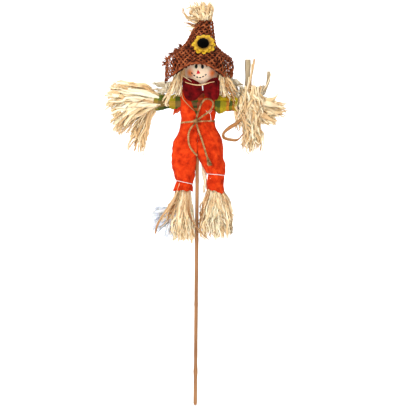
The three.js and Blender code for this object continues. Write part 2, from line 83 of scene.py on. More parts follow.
def studio_sweep():
    """A floor that curves up into a back wall: a straight line, a quarter circle, a line."""
    bend, back, front, wall = 0.8, 3.0, -3.8, 4.6
    turn = np.linspace(0, math.pi / 2, 24)
    y = np.concatenate([[front], back + bend * np.sin(turn), [back + bend]])
    z = np.concatenate([[0], bend * (1 - np.cos(turn)), [wall]]) - 0.0006
    points = np.stack([np.tile([-5.0, 5.0], len(y)), np.repeat(y, 2), np.repeat(z, 2)], axis=1)
    i = np.arange(len(y) - 1) * 2
    faces = np.stack([i, i + 1, i + 3, i + 2], axis=1)
    mesh = bpy.data.meshes.new("studio_sweep")
    mesh.from_pydata(points.tolist(), [], faces.tolist())
    mesh.polygons.foreach_set("use_smooth", [True] * len(faces))
    paper = bpy.data.materials.new("white_paper")
    paper.use_nodes = True
    shader = paper.node_tree.nodes["Principled BSDF"]
    shader.inputs["Base Color"].default_value = (0.93, 0.93, 0.93, 1)
    shader.inputs["Roughness"].default_value = 0.9
    mesh.materials.append(paper)
    sweep = bpy.data.objects.new("studio_sweep", mesh)
    scene.collection.objects.link(sweep)


def soft_light(name, place, size, power, aim=(0, 0, 0.42)):
    """A square area light at place that faces aim."""
    data = bpy.data.lights.new(name, "AREA")
    data.size = size
    data.energy = power
    lamp = bpy.data.objects.new(name, data)
    lamp.location = place
    lamp.rotation_euler = (Vector(aim) - Vector(place)).to_track_quat("-Z", "Y").to_euler()
    scene.collection.objects.link(lamp)


studio_sweep()
soft_light("key", (-1.3, -1.5, 1.4), 0.6, 28)
soft_light("fill", (0.4, -2.0, 0.3), 1.0, 19)
soft_light("backdrop_wash", (0, 1.2, 3.6), 3.0, 190, aim=(0, 3.8, 0.4))
world = bpy.data.worlds.new("studio")
world.use_nodes = True
world.node_tree.nodes["Background"].inputs["Color"].default_value = (1, 1, 1, 1)
world.node_tree.nodes["Background"].inputs["Strength"].default_value = 0.38
scene.world = world
print("camera lens:", round(camera_data.lens, 1), "mm")

# %% [markdown]
# ## Making meshes from arrays
# A `loft` joins a table of rings into quads and closes its two ends. A `sheet_of` gives a table
# of points a thickness and a rim, as cut cloth has. `tube` carries a round section along a
# path. Everything else is a formula for the rings.


# %% Mesh helpers
def unit(v):
    """Each vector of v divided by its length."""
    return v / np.maximum(np.linalg.norm(v, axis=-1, keepdims=True), 1e-12)


def fade(x, low, high):
    """The smooth step: 0 below low, 1 above high, 3t2 - 2t3 between."""
    t = np.clip((x - low) / (high - low), 0, 1)
    return t * t * (3 - 2 * t)


def ripple(points, size, seed, waves=16):
    """Smooth noise of about -1.5 to 1.5: a sum of plane waves in random directions, whose
    lengths are near size. It depends on the place only, so it has no seam."""
    rng = np.random.default_rng(seed)
    pull = unit(rng.normal(size=(waves, 3))) / (size * rng.uniform(0.7, 1.5, (waves, 1)))
    phase = rng.uniform(0, TAU, waves)
    return np.cos(points @ pull.T * TAU + phase).sum(-1) / math.sqrt(waves / 2)


def quads(rows, columns, wrap):
    """Quads over a table of rows x columns points, with their UV. With wrap, the last column
    joins the first."""
    i, j = np.meshgrid(np.arange(rows - 1), np.arange(columns if wrap else columns - 1),
                       indexing="ij")
    i, j = i.ravel(), j.ravel()
    k = (j + 1) % columns
    faces = np.stack([i * columns + j, (i + 1) * columns + j, (i + 1) * columns + k,
                      i * columns + k], axis=1)
    u = np.stack([i, i + 1, i + 1, i], axis=1) / (rows - 1)
    v = np.stack([j, j, j + 1, j + 1], axis=1) / (columns if wrap else columns - 1)
    return faces, np.stack([u, v], axis=2)


def end_caps(rings, sides):
    """Quads that close the first and last ring: a ladder between its two halves, of the points
    k, k+1, n-2-k and n-1-k. The number of sides is even."""
    k = np.arange(sides // 2 - 1)
    first = np.stack([k, k + 1, sides - 2 - k, sides - 1 - k], axis=1)
    return np.concatenate([first, first[:, ::-1] + (rings - 1) * sides])


def loft(rings):
    """A closed body through rings, a table [ring, point, xyz]."""
    n, sides = rings.shape[:2]
    faces, uv = quads(n, sides, True)
    caps = end_caps(n, sides)
    cap_uv = np.repeat(np.array([[[0.0, 0.5]], [[1.0, 0.5]]]), len(caps) // 2, axis=0)
    return (rings.reshape(-1, 3), np.concatenate([faces, caps]),
            np.concatenate([uv, np.repeat(cap_uv, 4, axis=1)]))


def sheet_of(table, thickness, wrap=False, keep=None):
    """A piece of cloth from a table of points: its face, the same moved back along the normal
    by thickness, and a rim along every free edge. keep says which quads stay."""
    rows, columns = table.shape[:2]
    faces, uv = quads(rows, columns, wrap)
    down = np.gradient(table, axis=0)
    if wrap:
        across = np.roll(table, -1, 1) - np.roll(table, 1, 1)
    else:
        across = np.gradient(table, axis=1)
    normal = unit(np.cross(down, across)).reshape(-1, 3)
    points = table.reshape(-1, 3)
    if keep is not None:
        faces, uv = faces[keep], uv[keep]
    edges = np.stack([faces, np.roll(faces, -1, axis=1)], axis=2).reshape(-1, 2)
    _, index, count = np.unique(np.sort(edges, axis=1), axis=0, return_index=True,
                                return_counts=True)
    free = edges[index[count == 1]]
    n = len(points)
    rim = np.stack([free[:, 1], free[:, 0], free[:, 0] + n, free[:, 1] + n], axis=1)
    rim_uv = np.repeat(uv.reshape(-1, 2)[index[count == 1]][:, None], 4, axis=1)
    return (np.concatenate([points, points - normal * thickness]),
            np.concatenate([faces, faces[:, ::-1] + n, rim]),
            np.concatenate([uv, uv[:, ::-1], rim_uv]))


def joined(surfaces):
    """Several (points, faces, uv) as one."""
    offset = np.cumsum([0] + [len(s[0]) for s in surfaces[:-1]])
    return (np.concatenate([s[0] for s in surfaces]),
            np.concatenate([s[1] + o for s, o in zip(surfaces, offset)]),
            np.concatenate([s[2] for s in surfaces]))


def stations(table, at):
    """A table whose first column climbs, read smoothly at the values at: cubic pieces whose
    slopes come from the neighbouring rows."""
    table = np.asarray(table, float)
    x, y = table[:, 0], table[:, 1:]
    slope = np.gradient(y, x, axis=0)
    k = np.clip(np.searchsorted(x, at) - 1, 0, len(x) - 2)
    h = (x[k + 1] - x[k])[:, None]
    t = ((np.asarray(at) - x[k])[:, None]) / h
    return ((2 * t**3 - 3 * t**2 + 1) * y[k] + (t**3 - 2 * t**2 + t) * h * slope[k]
            + (3 * t**2 - 2 * t**3) * y[k + 1] + (t**3 - t**2) * h * slope[k + 1])


def oval(angle, power):
    """Cosine and sine of a superellipse: 2 is a plain ellipse, more is squarer."""
    c, s = np.cos(angle), np.sin(angle)
    return np.sign(c) * np.abs(c) ** (2 / power), np.sign(s) * np.abs(s) ** (2 / power)


def even_path(points, step):
    """A Catmull-Rom curve through the points, with points about step apart."""
    p = np.asarray(points, float)
    ends = np.concatenate([[2 * p[0] - p[1]], p, [2 * p[-1] - p[-2]]])
    t = np.linspace(0, len(p) - 1 - 1e-9, 30 * len(p))
    k = t.astype(int)
    t = (t - k)[:, None]
    a, b, c, d = ends[k], ends[k + 1], ends[k + 2], ends[k + 3]
    fine = 0.5 * (2 * b + (c - a) * t + (2 * a - 5 * b + 4 * c - d) * t**2
                  + (3 * b - a - 3 * c + d) * t**3)
    run = np.concatenate([[0], np.cumsum(np.linalg.norm(np.diff(fine, axis=0), axis=1))])
    at = np.linspace(0, run[-1], max(round(run[-1] / step) + 1, 4))
    return np.stack([np.interp(at, run, fine[:, k]) for k in range(3)], axis=1)


def path_length(path):
    """The sum of the steps of a path."""
    return float(np.linalg.norm(np.diff(path, axis=0), axis=1).sum())


def frame_of(path, closed=False, up=(0.0, -1.0, 0.13)):
    """Two directions square to the path at each point, the second one close to up."""
    if closed:
        along = unit(np.roll(path, -1, 0) - np.roll(path, 1, 0))
    else:
        along = unit(np.gradient(path, axis=0))
    side = unit(np.cross(along, np.asarray(up)))
    return side, np.cross(side, along)


def tube(path, radius, sides=8, up=(0.0, -1.0, 0.13)):
    """A round rod along a path, with slightly rounded ends."""
    side, lift = frame_of(path, up=up)
    angle = np.arange(sides) / sides * TAU
    ring = side[:, None] * np.cos(angle)[:, None] + lift[:, None] * np.sin(angle)[:, None]
    rings = path[:, None] + ring * np.broadcast_to(radius, len(path))[:, None, None]
    ends = path[[0, -1]][:, None] + (rings[[0, -1]] - path[[0, -1]][:, None]) * 0.5
    push = unit(path[[0, -1]] - path[[1, -2]])[:, None] * np.min(radius) * 0.4
    ends = ends + push
    return loft(np.concatenate([ends[:1], rings, ends[1:]]))


def twisted_cord(path, radius, plies=2, lay=6.5, sides=8, closed=False):
    """Plies laid round each other: each one is a tube whose middle runs round the path on a
    screw line of the given lay, a full turn every lay millimetres."""
    side, lift = frame_of(path, closed)
    if closed:
        step = np.linalg.norm(np.roll(path, -1, 0) - path, axis=1)
        run = np.concatenate([[0], np.cumsum(step)[:-1]])
        turns = round(step.sum() / lay)
        turn = run / step.sum() * turns * TAU
    else:
        run = np.concatenate([[0], np.cumsum(np.linalg.norm(np.diff(path, axis=0), axis=1))])
        turn = run / lay * TAU
    bodies = []
    for ply in range(plies):
        a = turn + ply * TAU / plies
        middle = path + (side * np.cos(a)[:, None] + lift * np.sin(a)[:, None]) * radius * 0.46
        if not closed:
            bodies.append(tube(middle, radius * 0.56, sides))
            continue
        s, l = frame_of(middle, True)
        angle = np.arange(sides) / sides * TAU
        ring = s[:, None] * np.cos(angle)[:, None] + l[:, None] * np.sin(angle)[:, None]
        rings = middle[:, None] + ring * radius * 0.56
        faces, uv = quads(len(rings) + 1, sides, True)
        bodies.append((rings.reshape(-1, 3), faces % (len(rings) * sides), uv))
    return joined(bodies)


def piece(name, surface, material, slot, body=None, stands_for=(), **numbers):
    """A finished object from a closed surface. The faces are turned outward if the surface's
    signed volume is negative. numbers become attributes, one value for each point."""
    points, faces, uv = surface
    a, b, c, d = (points[faces[:, k]] for k in range(4))
    if (np.einsum("ij,ij->", a, np.cross(b, c)) + np.einsum("ij,ij->", a, np.cross(c, d))) < 0:
        faces, uv = faces[:, ::-1], uv[:, ::-1]
    mesh = bpy.data.meshes.new(name)
    mesh.from_pydata((points * MM).tolist(), [], faces.tolist())
    layer = mesh.uv_layers.new(name="UVMap")
    layer.data.foreach_set("uv", np.ascontiguousarray(uv, dtype=np.float32).ravel())
    for key, values in numbers.items():
        attribute = mesh.attributes.new(key, "FLOAT", "POINT")
        attribute.data.foreach_set("value", np.asarray(values, np.float32).ravel())
    mesh.polygons.foreach_set("use_smooth", [True] * len(faces))
    mesh.materials.append(material)
    made = bpy.data.objects.new(name, mesh)
    scene.collection.objects.link(made)
    if body:
        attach(made, body)
    if stands_for:
        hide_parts(*stands_for)
    print(f"{name}: {len(faces)} quads")
    return made


# %% [markdown]
# ## Materials
# Each kind of stuff has one recipe, and the pieces differ only by the numbers they give it.
# Colours are written as the sRGB values that a swatch would show, and turned into the linear
# values that the shader needs.


# %% Material recipes
def colour(red, green, blue):
    """An sRGB colour of 0 to 255 as the linear values of a shader."""
    c = np.array([red, green, blue]) / 255
    linear = np.where(c <= 0.04045, c / 12.92, ((c + 0.055) / 1.055) ** 2.4)
    return (*[float(v) for v in linear], 1.0)


def blank_material(name):
    """A material with a node tree, its shader and the tree's list of nodes."""
    material = bpy.data.materials.new(name)
    material.use_nodes = True
    tree = material.node_tree
    tree.nodes["Principled BSDF"].location = (300, 0)
    tree.nodes["Material Output"].location = (620, 0)
    return material, tree, tree.nodes["Principled BSDF"]


def raffia_material(name, deep, middle, pale, alpha=1.0):
    """Dry palm leaf: its tone differs from strip to strip, and fine lines run along it."""
    material, tree, shader = blank_material(name)
    make, link = tree.nodes.new, tree.links.new
    group = make("NodeFrame")
    group.label = "leaf fibre"

    tone = make("ShaderNodeAttribute")
    tone.label, tone.location, tone.parent = "tone of the strip", (-900, 200), group
    tone.attribute_name = "tone"
    place = make("ShaderNodeUVMap")
    place.label, place.location, place.parent = "along and across", (-1100, -100), group
    stretch = make("ShaderNodeMapping")
    stretch.label, stretch.location, stretch.parent = "long thin grain", (-900, -100), group
    stretch.inputs["Scale"].default_value = (5, 34, 1)
    grain = make("ShaderNodeTexNoise")
    grain.label, grain.location, grain.parent = "fibre lines", (-700, -100), group
    grain.inputs["Scale"].default_value = 1.0
    grain.inputs["Detail"].default_value = 3
    blotch = make("ShaderNodeTexNoise")
    blotch.label, blotch.location, blotch.parent = "dry patches", (-700, -350), group
    blotch.inputs["Scale"].default_value = 95
    together = make("ShaderNodeMath")
    together.label, together.location, together.parent = "tone plus fibre", (-500, 100), group
    together.operation = "MULTIPLY_ADD"
    together.inputs[1].default_value = 0.3
    patched = make("ShaderNodeMath")
    patched.label, patched.location, patched.parent = "plus patches", (-320, 100), group
    patched.operation = "MULTIPLY_ADD"
    patched.inputs[1].default_value = 0.25
    ramp = make("ShaderNodeValToRGB")
    ramp.label, ramp.location, ramp.parent = "leaf colours", (-140, 100), group
    ramp.color_ramp.elements[0].position = 0.2
    ramp.color_ramp.elements[0].color = colour(*deep)
    ramp.color_ramp.elements[1].position = 0.88
    ramp.color_ramp.elements[1].color = colour(*pale)
    ramp.color_ramp.elements.new(0.5).color = colour(*middle)
    bump = make("ShaderNodeBump")
    bump.label, bump.location, bump.parent = "raised fibres", (60, -250), group
    bump.inputs["Strength"].default_value = 0.5
    bump.inputs["Distance"].default_value = 0.0004
    link(place.outputs["UV"], stretch.inputs["Vector"])
    link(stretch.outputs["Vector"], grain.inputs["Vector"])
    link(grain.outputs["Fac"], together.inputs[0])
    link(tone.outputs["Fac"], together.inputs[2])
    link(blotch.outputs["Fac"], patched.inputs[0])
    link(together.outputs[0], patched.inputs[2])
    link(patched.outputs[0], ramp.inputs["Fac"])
    link(ramp.outputs["Color"], shader.inputs["Base Color"])
    link(grain.outputs["Fac"], bump.inputs["Height"])
    link(bump.outputs["Normal"], shader.inputs["Normal"])
    shader.inputs["Roughness"].default_value = 0.52
    shader.inputs["Specular IOR Level"].default_value = 0.35
    shader.inputs["Subsurface Weight"].default_value = 0.12
    shader.inputs["Subsurface Radius"].default_value = (0.002, 0.0013, 0.0007)
    shader.inputs["Alpha"].default_value = alpha
    return material


def felt_material(name, shaded, middle, lit, sheen):
    """Pressed fibres: a mottled colour, a fine random nap, and a soft edge glow of fuzz."""
    material, tree, shader = blank_material(name)
    make, link = tree.nodes.new, tree.links.new
    group = make("NodeFrame")
    group.label = "pressed fibres"

    place = make("ShaderNodeTexCoord")
    place.label, place.location, place.parent = "place on the doll", (-1000, 0), group
    mottle = make("ShaderNodeTexNoise")
    mottle.label, mottle.location, mottle.parent = "uneven dye", (-760, 160), group
    mottle.inputs["Scale"].default_value = 120
    mottle.inputs["Detail"].default_value = 5
    nap = make("ShaderNodeTexNoise")
    nap.label, nap.location, nap.parent = "matted fibres", (-760, -120), group
    nap.inputs["Scale"].default_value = 900
    nap.inputs["Detail"].default_value = 6
    nap.inputs["Distortion"].default_value = 1.6
    blend = make("ShaderNodeMath")
    blend.label, blend.location, blend.parent = "dye and nap", (-540, 60), group
    blend.operation = "MULTIPLY_ADD"
    blend.inputs[1].default_value = 0.45
    ramp = make("ShaderNodeValToRGB")
    ramp.label, ramp.location, ramp.parent = "felt colours", (-340, 60), group
    ramp.color_ramp.elements[0].position = 0.52
    ramp.color_ramp.elements[0].color = colour(*shaded)
    ramp.color_ramp.elements[1].position = 0.95
    ramp.color_ramp.elements[1].color = colour(*lit)
    ramp.color_ramp.elements.new(0.72).color = colour(*middle)
    bump = make("ShaderNodeBump")
    bump.label, bump.location, bump.parent = "nap relief", (0, -220), group
    bump.inputs["Strength"].default_value = 0.55
    bump.inputs["Distance"].default_value = 0.0006
    link(place.outputs["Object"], mottle.inputs["Vector"])
    link(place.outputs["Object"], nap.inputs["Vector"])
    link(nap.outputs["Fac"], blend.inputs[0])
    link(mottle.outputs["Fac"], blend.inputs[2])
    link(blend.outputs[0], ramp.inputs["Fac"])
    link(ramp.outputs["Color"], shader.inputs["Base Color"])
    link(nap.outputs["Fac"], bump.inputs["Height"])
    link(bump.outputs["Normal"], shader.inputs["Normal"])
    shader.inputs["Roughness"].default_value = 0.95
    shader.inputs["Specular IOR Level"].default_value = 0.12
    shader.inputs["Sheen Weight"].default_value = 0.25
    shader.inputs["Sheen Roughness"].default_value = 0.5
    shader.inputs["Sheen Tint"].default_value = colour(*sheen)
    return material


def plaid_material(name, warp, weft, repeats):
    """Woven checks: one row of stripes runs round the cloth and another along it, and where
    they cross each shows half. warp and weft are lists of (share, colour)."""
    material, tree, shader = blank_material(name)
    make, link = tree.nodes.new, tree.links.new
    group = make("NodeFrame")
    group.label = "woven checks"

    place = make("ShaderNodeUVMap")
    place.label, place.location, place.parent = "cloth length and girth", (-1500, 0), group
    wobble = make("ShaderNodeTexNoise")
    wobble.label, wobble.location, wobble.parent = "loose threads", (-1300, -320), group
    wobble.inputs["Scale"].default_value = 26
    shift = make("ShaderNodeMixRGB")
    shift.label, shift.location, shift.parent = "uneven stripe edges", (-1120, -60), group
    shift.blend_type = "LINEAR_LIGHT"
    shift.inputs["Fac"].default_value = 0.018
    split = make("ShaderNodeSeparateXYZ")
    split.label, split.location, split.parent = "two directions", (-940, 0), group
    mixed = make("ShaderNodeMixRGB")
    mixed.label, mixed.location, mixed.parent = "warp over weft", (-120, 60), group
    mixed.inputs["Fac"].default_value = 0.5
    link(place.outputs["UV"], shift.inputs["Color1"])
    link(wobble.outputs["Color"], shift.inputs["Color2"])
    link(shift.outputs["Color"], split.inputs["Vector"])
    for row, (stripes, axis) in enumerate(((warp, "X"), (weft, "Y"))):
        count = make("ShaderNodeMath")
        count.label, count.location, count.parent = "repeats", (-760, 120 - 300 * row), group
        count.operation = "MULTIPLY"
        count.inputs[1].default_value = repeats[row]
        part = make("ShaderNodeMath")
        part.label, part.location, part.parent = "place in repeat", (-600, 120 - 300 * row), group
        part.operation = "FRACT"
        ramp = make("ShaderNodeValToRGB")
        ramp.label, ramp.location, ramp.parent = "stripes", (-420, 120 - 300 * row), group
        ramp.color_ramp.interpolation = "CONSTANT"
        ramp.color_ramp.elements[0].color = colour(*stripes[0][1])
        start = stripes[0][0]
        for share, shade in stripes[1:-1]:
            ramp.color_ramp.elements.new(start).color = colour(*shade)
            start += share
        ramp.color_ramp.elements[-1].position = start
        ramp.color_ramp.elements[-1].color = colour(*stripes[-1][1])
        link(split.outputs[axis], count.inputs[0])
        link(count.outputs[0], part.inputs[0])
        link(part.outputs[0], ramp.inputs["Fac"])
        link(ramp.outputs["Color"], mixed.inputs[f"Color{row + 1}"])
    weave = make("ShaderNodeTexNoise")
    weave.label, weave.location, weave.parent = "coarse threads", (-420, -500), group
    weave.inputs["Scale"].default_value = 700
    weave.inputs["Detail"].default_value = 4
    faded = make("ShaderNodeMixRGB")
    faded.label, faded.location, faded.parent = "thread shade", (80, 60), group
    faded.blend_type = "OVERLAY"
    faded.inputs["Fac"].default_value = 0.55
    bump = make("ShaderNodeBump")
    bump.label, bump.location, bump.parent = "thread relief", (80, -260), group
    bump.inputs["Strength"].default_value = 0.5
    bump.inputs["Distance"].default_value = 0.0005
    link(mixed.outputs["Color"], faded.inputs["Color1"])
    link(weave.outputs["Fac"], faded.inputs["Color2"])
    link(faded.outputs["Color"], shader.inputs["Base Color"])
    link(weave.outputs["Fac"], bump.inputs["Height"])
    link(bump.outputs["Normal"], shader.inputs["Normal"])
    shader.inputs["Roughness"].default_value = 0.9
    shader.inputs["Specular IOR Level"].default_value = 0.15
    return material


def yarn_material(name, dark, middle, light, lines):
    """Spun jute: fine tangled fibres, and lighter and darker lengths of it."""
    material, tree, shader = blank_material(name)
    make, link = tree.nodes.new, tree.links.new
    group = make("NodeFrame")
    group.label = "spun jute"

    place = make("ShaderNodeTexCoord")
    place.label, place.location, place.parent = "place on the doll", (-1000, 0), group
    fibres = make("ShaderNodeTexNoise")
    fibres.label, fibres.location, fibres.parent = "fibres", (-760, 160), group
    fibres.inputs["Scale"].default_value = lines
    fibres.inputs["Detail"].default_value = 6
    fibres.inputs["Distortion"].default_value = 2.5
    lengths = make("ShaderNodeTexNoise")
    lengths.label, lengths.location, lengths.parent = "uneven dye", (-760, -120), group
    lengths.inputs["Scale"].default_value = 160
    blend = make("ShaderNodeMath")
    blend.label, blend.location, blend.parent = "fibres and dye", (-540, 60), group
    blend.operation = "MULTIPLY_ADD"
    blend.inputs[1].default_value = 0.5
    ramp = make("ShaderNodeValToRGB")
    ramp.label, ramp.location, ramp.parent = "jute colours", (-340, 60), group
    ramp.color_ramp.elements[0].position = 0.55
    ramp.color_ramp.elements[0].color = colour(*dark)
    ramp.color_ramp.elements[1].position = 0.98
    ramp.color_ramp.elements[1].color = colour(*light)
    ramp.color_ramp.elements.new(0.74).color = colour(*middle)
    bump = make("ShaderNodeBump")
    bump.label, bump.location, bump.parent = "fibre relief", (0, -220), group
    bump.inputs["Strength"].default_value = 0.8
    bump.inputs["Distance"].default_value = 0.0006
    link(place.outputs["Object"], fibres.inputs["Vector"])
    link(place.outputs["Object"], lengths.inputs["Vector"])
    link(fibres.outputs["Fac"], blend.inputs[0])
    link(lengths.outputs["Fac"], blend.inputs[2])
    link(blend.outputs[0], ramp.inputs["Fac"])
    link(ramp.outputs["Color"], shader.inputs["Base Color"])
    link(fibres.outputs["Fac"], bump.inputs["Height"])
    link(bump.outputs["Normal"], shader.inputs["Normal"])
    shader.inputs["Roughness"].default_value = 0.88
    shader.inputs["Specular IOR Level"].default_value = 0.2
    return material


def grained_material(name, low, high, scale, stretch, roughness, relief, metallic=0.0,
                     mirror=0.5):
    """A plain stuff with a grain: cane, paint, thread, foam, stuffing, pile or wire. stretch
    draws the grain out along Z."""
    material, tree, shader = blank_material(name)
    make, link = tree.nodes.new, tree.links.new
    group = make("NodeFrame")
    group.label = "grain"

    place = make("ShaderNodeTexCoord")
    place.label, place.location, place.parent = "place on the doll", (-1000, 0), group
    draw = make("ShaderNodeMapping")
    draw.label, draw.location, draw.parent = "draw out", (-820, 0), group
    draw.inputs["Scale"].default_value = (1, 1, stretch)
    grain = make("ShaderNodeTexNoise")
    grain.label, grain.location, grain.parent = "grain", (-620, 0), group
    grain.inputs["Scale"].default_value = scale
    grain.inputs["Detail"].default_value = 5
    ramp = make("ShaderNodeValToRGB")
    ramp.label, ramp.location, ramp.parent = "colours", (-400, 60), group
    ramp.color_ramp.elements[0].position = 0.32
    ramp.color_ramp.elements[0].color = colour(*low)
    ramp.color_ramp.elements[1].position = 0.7
    ramp.color_ramp.elements[1].color = colour(*high)
    bump = make("ShaderNodeBump")
    bump.label, bump.location, bump.parent = "relief", (0, -220), group
    bump.inputs["Strength"].default_value = relief
    bump.inputs["Distance"].default_value = 0.0004
    link(place.outputs["Object"], draw.inputs["Vector"])
    link(draw.outputs["Vector"], grain.inputs["Vector"])
    link(grain.outputs["Fac"], ramp.inputs["Fac"])
    link(ramp.outputs["Color"], shader.inputs["Base Color"])
    link(grain.outputs["Fac"], bump.inputs["Height"])
    link(bump.outputs["Normal"], shader.inputs["Normal"])
    shader.inputs["Roughness"].default_value = roughness
    shader.inputs["Metallic"].default_value = metallic
    shader.inputs["Specular IOR Level"].default_value = mirror
    return material


def face_material(name, skin, shade, blush, cheeks, cheek_size):
    """Stretched jersey with two soft round cheeks: the blush fades with the distance from
    either cheek's middle. The distances are measured in the head's own coordinates."""
    material, tree, shader = blank_material(name)
    make, link = tree.nodes.new, tree.links.new
    group = make("NodeFrame")
    group.label = "painted cheeks"

    place = make("ShaderNodeTexCoord")
    place.label, place.location, place.parent = "place on the doll", (-1300, 0), group
    knit = make("ShaderNodeTexNoise")
    knit.label, knit.location, knit.parent = "fine knit", (-900, 320), group
    knit.inputs["Scale"].default_value = 1300
    tint = make("ShaderNodeMixRGB")
    tint.label, tint.location, tint.parent = "skin cloth", (-620, 260), group
    tint.inputs["Color1"].default_value = colour(*shade)
    tint.inputs["Color2"].default_value = colour(*skin)
    link(place.outputs["Object"], knit.inputs["Vector"])
    link(knit.outputs["Fac"], tint.inputs["Fac"])
    painted = tint
    for number, cheek in enumerate(cheeks):
        away = make("ShaderNodeVectorMath")
        away.label, away.location, away.parent = "from cheek", (-1080, -200 * number), group
        away.operation = "DISTANCE"
        away.inputs[1].default_value = [c * MM for c in cheek]
        dab = make("ShaderNodeMapRange")
        dab.label, dab.location, dab.parent = "soft dab", (-860, -200 * number), group
        dab.interpolation_type = "SMOOTHSTEP"
        dab.inputs["From Min"].default_value = cheek_size * MM
        dab.inputs["From Max"].default_value = 0.0
        dab.inputs["To Max"].default_value = 1.0
        paint = make("ShaderNodeMixRGB")
        paint.label, paint.location, paint.parent = "blush", (-400 + 180 * number, 120), group
        paint.inputs["Color2"].default_value = colour(*blush)
        link(place.outputs["Object"], away.inputs[0])
        link(away.outputs["Value"], dab.inputs["Value"])
        link(dab.outputs["Result"], paint.inputs["Fac"])
        link(painted.outputs["Color"], paint.inputs["Color1"])
        painted = paint
    bump = make("ShaderNodeBump")
    bump.label, bump.location, bump.parent = "knit relief", (0, -260), group
    bump.inputs["Strength"].default_value = 0.15
    bump.inputs["Distance"].default_value = 0.0002
    link(painted.outputs["Color"], shader.inputs["Base Color"])
    link(knit.outputs["Fac"], bump.inputs["Height"])
    link(bump.outputs["Normal"], shader.inputs["Normal"])
    shader.inputs["Roughness"].default_value = 0.75
    shader.inputs["Subsurface Weight"].default_value = 0.1
    shader.inputs["Subsurface Radius"].default_value = (0.003, 0.0012, 0.0006)
    return material


def petal_material(name, heart, middle, tip):
    """Dyed cloth petals, brownish at the heart and bright at the tip, by the attribute reach."""
    material, tree, shader = blank_material(name)
    make, link = tree.nodes.new, tree.links.new
    group = make("NodeFrame")
    group.label = "petal dye"

    reach = make("ShaderNodeAttribute")
    reach.label, reach.location, reach.parent = "heart to tip", (-800, 100), group
    reach.attribute_name = "reach"
    veins = make("ShaderNodeTexNoise")
    veins.label, veins.location, veins.parent = "cloth threads", (-800, -160), group
    veins.inputs["Scale"].default_value = 900
    blend = make("ShaderNodeMath")
    blend.label, blend.location, blend.parent = "reach and threads", (-560, 60), group
    blend.operation = "MULTIPLY_ADD"
    blend.inputs[1].default_value = 0.3
    ramp = make("ShaderNodeValToRGB")
    ramp.label, ramp.location, ramp.parent = "petal colours", (-340, 60), group
    ramp.color_ramp.elements[0].position = 0.2
    ramp.color_ramp.elements[0].color = colour(*heart)
    ramp.color_ramp.elements[1].position = 1.0
    ramp.color_ramp.elements[1].color = colour(*tip)
    ramp.color_ramp.elements.new(0.6).color = colour(*middle)
    bump = make("ShaderNodeBump")
    bump.label, bump.location, bump.parent = "thread relief", (0, -220), group
    bump.inputs["Strength"].default_value = 0.4
    bump.inputs["Distance"].default_value = 0.0003
    link(veins.outputs["Fac"], blend.inputs[0])
    link(reach.outputs["Fac"], blend.inputs[2])
    link(blend.outputs[0], ramp.inputs["Fac"])
    link(ramp.outputs["Color"], shader.inputs["Base Color"])
    link(veins.outputs["Fac"], bump.inputs["Height"])
    link(bump.outputs["Normal"], shader.inputs["Normal"])
    shader.inputs["Roughness"].default_value = 0.7
    return material


# %% The doll's materials
OLIVE, YELLOW, GREEN, DARK_GREEN = (148, 134, 32), (190, 164, 20), (82, 94, 34), (46, 60, 26)
BROWN, RUST, RED, ORANGE = (142, 96, 62), (176, 84, 38), (186, 34, 22), (222, 120, 40)
RAFFIA = raffia_material("raffia", (168, 110, 54), (236, 202, 150), (253, 240, 208))
# raffia_shaded is a darker, greyer copy of the raffia: painted shade for strips that lie in shadow behind
# others.
RAFFIA_PAINTED_SHADE = raffia_material("raffia_shaded", (124, 104, 72), (176, 156, 122), (216, 202, 176))
RAFFIA_FOOT = raffia_material("raffia_coarse", (168, 110, 58), (243, 210, 160), (255, 243, 212))
LEAF = raffia_material("thin_leaf", (196, 203, 214), (214, 220, 229), (236, 240, 246), 0.9)
ORANGE_FELT = felt_material("orange_felt", (156, 29, 1), (200, 48, 8), (224, 71, 20),
                            (235, 110, 60))
RED_FELT = felt_material("red_felt", (46, 0, 1), (90, 2, 5), (120, 8, 12), (120, 24, 24))
ROUND_SLEEVE = [(0.2, GREEN), (0.18, OLIVE), (0.11, GREEN), (0.12, BROWN), (0.2, DARK_GREEN),
                (0.19, BROWN)]
SLEEVE_PLAIDS = {
    "left": plaid_material("sleeve_plaid_left", [
        (0.22, GREEN), (0.2, YELLOW), (0.16, DARK_GREEN), (0.18, GREEN), (0.12, OLIVE),
        (0.12, BROWN)], ROUND_SLEEVE, (1.0, 1.0)),
    "right": plaid_material("sleeve_plaid_right", [
        (0.26, DARK_GREEN), (0.22, YELLOW), (0.1, ORANGE), (0.12, DARK_GREEN), (0.08, RUST),
        (0.22, YELLOW)], [(0.28, OLIVE), (0.2, YELLOW), (0.1, GREEN), (0.14, OLIVE), (0.14, RED),
                          (0.14, GREEN)], (1.0, 1.0))}
SHIRT_PLAID = plaid_material(
    "shirt_plaid", [(0.25, DARK_GREEN), (0.3, BROWN), (0.2, GREEN), (0.25, RUST)],
    [(0.3, GREEN), (0.25, BROWN), (0.2, DARK_GREEN), (0.25, RED)], (4.0, 5.0))
FRILL_PLAID = plaid_material(
    "frill_plaid", [(0.5, RED), (0.2, ORANGE), (0.3, RED)], [(0.6, RED), (0.4, RUST)], (2.0, 2.0))
HAT_JUTE = yarn_material("hat_jute", (60, 19, 4), (132, 58, 24), (192, 110, 66), 900)
# A much darker copy of the hat's jute: painted shade for the inner layers, so the outer yarns stand out.
HAT_JUTE_PAINTED_SHADE = yarn_material("hat_jute_painted_shade", (22, 5, 1), (62, 21, 7), (92, 38, 16), 900)
TWINE = yarn_material("twine", (104, 70, 38), (168, 128, 82), (210, 172, 122), 1300)
CANE = grained_material("cane", (128, 80, 40), (176, 124, 74), 260, 0.06, 0.5, 0.35)
THREAD = grained_material("thread", (214, 214, 214), (250, 250, 248), 2200, 1, 0.7, 0.3)
FOAM = grained_material("foam", (236, 234, 226), (250, 248, 242), 900, 1, 0.9, 0.4)
FIBREFILL = grained_material("fibrefill", (226, 226, 222), (250, 250, 250), 500, 1, 0.95, 0.9)
WIRE = grained_material("wire", (120, 120, 120), (170, 170, 170), 1500, 0.1, 0.4, 0.1, 1.0)
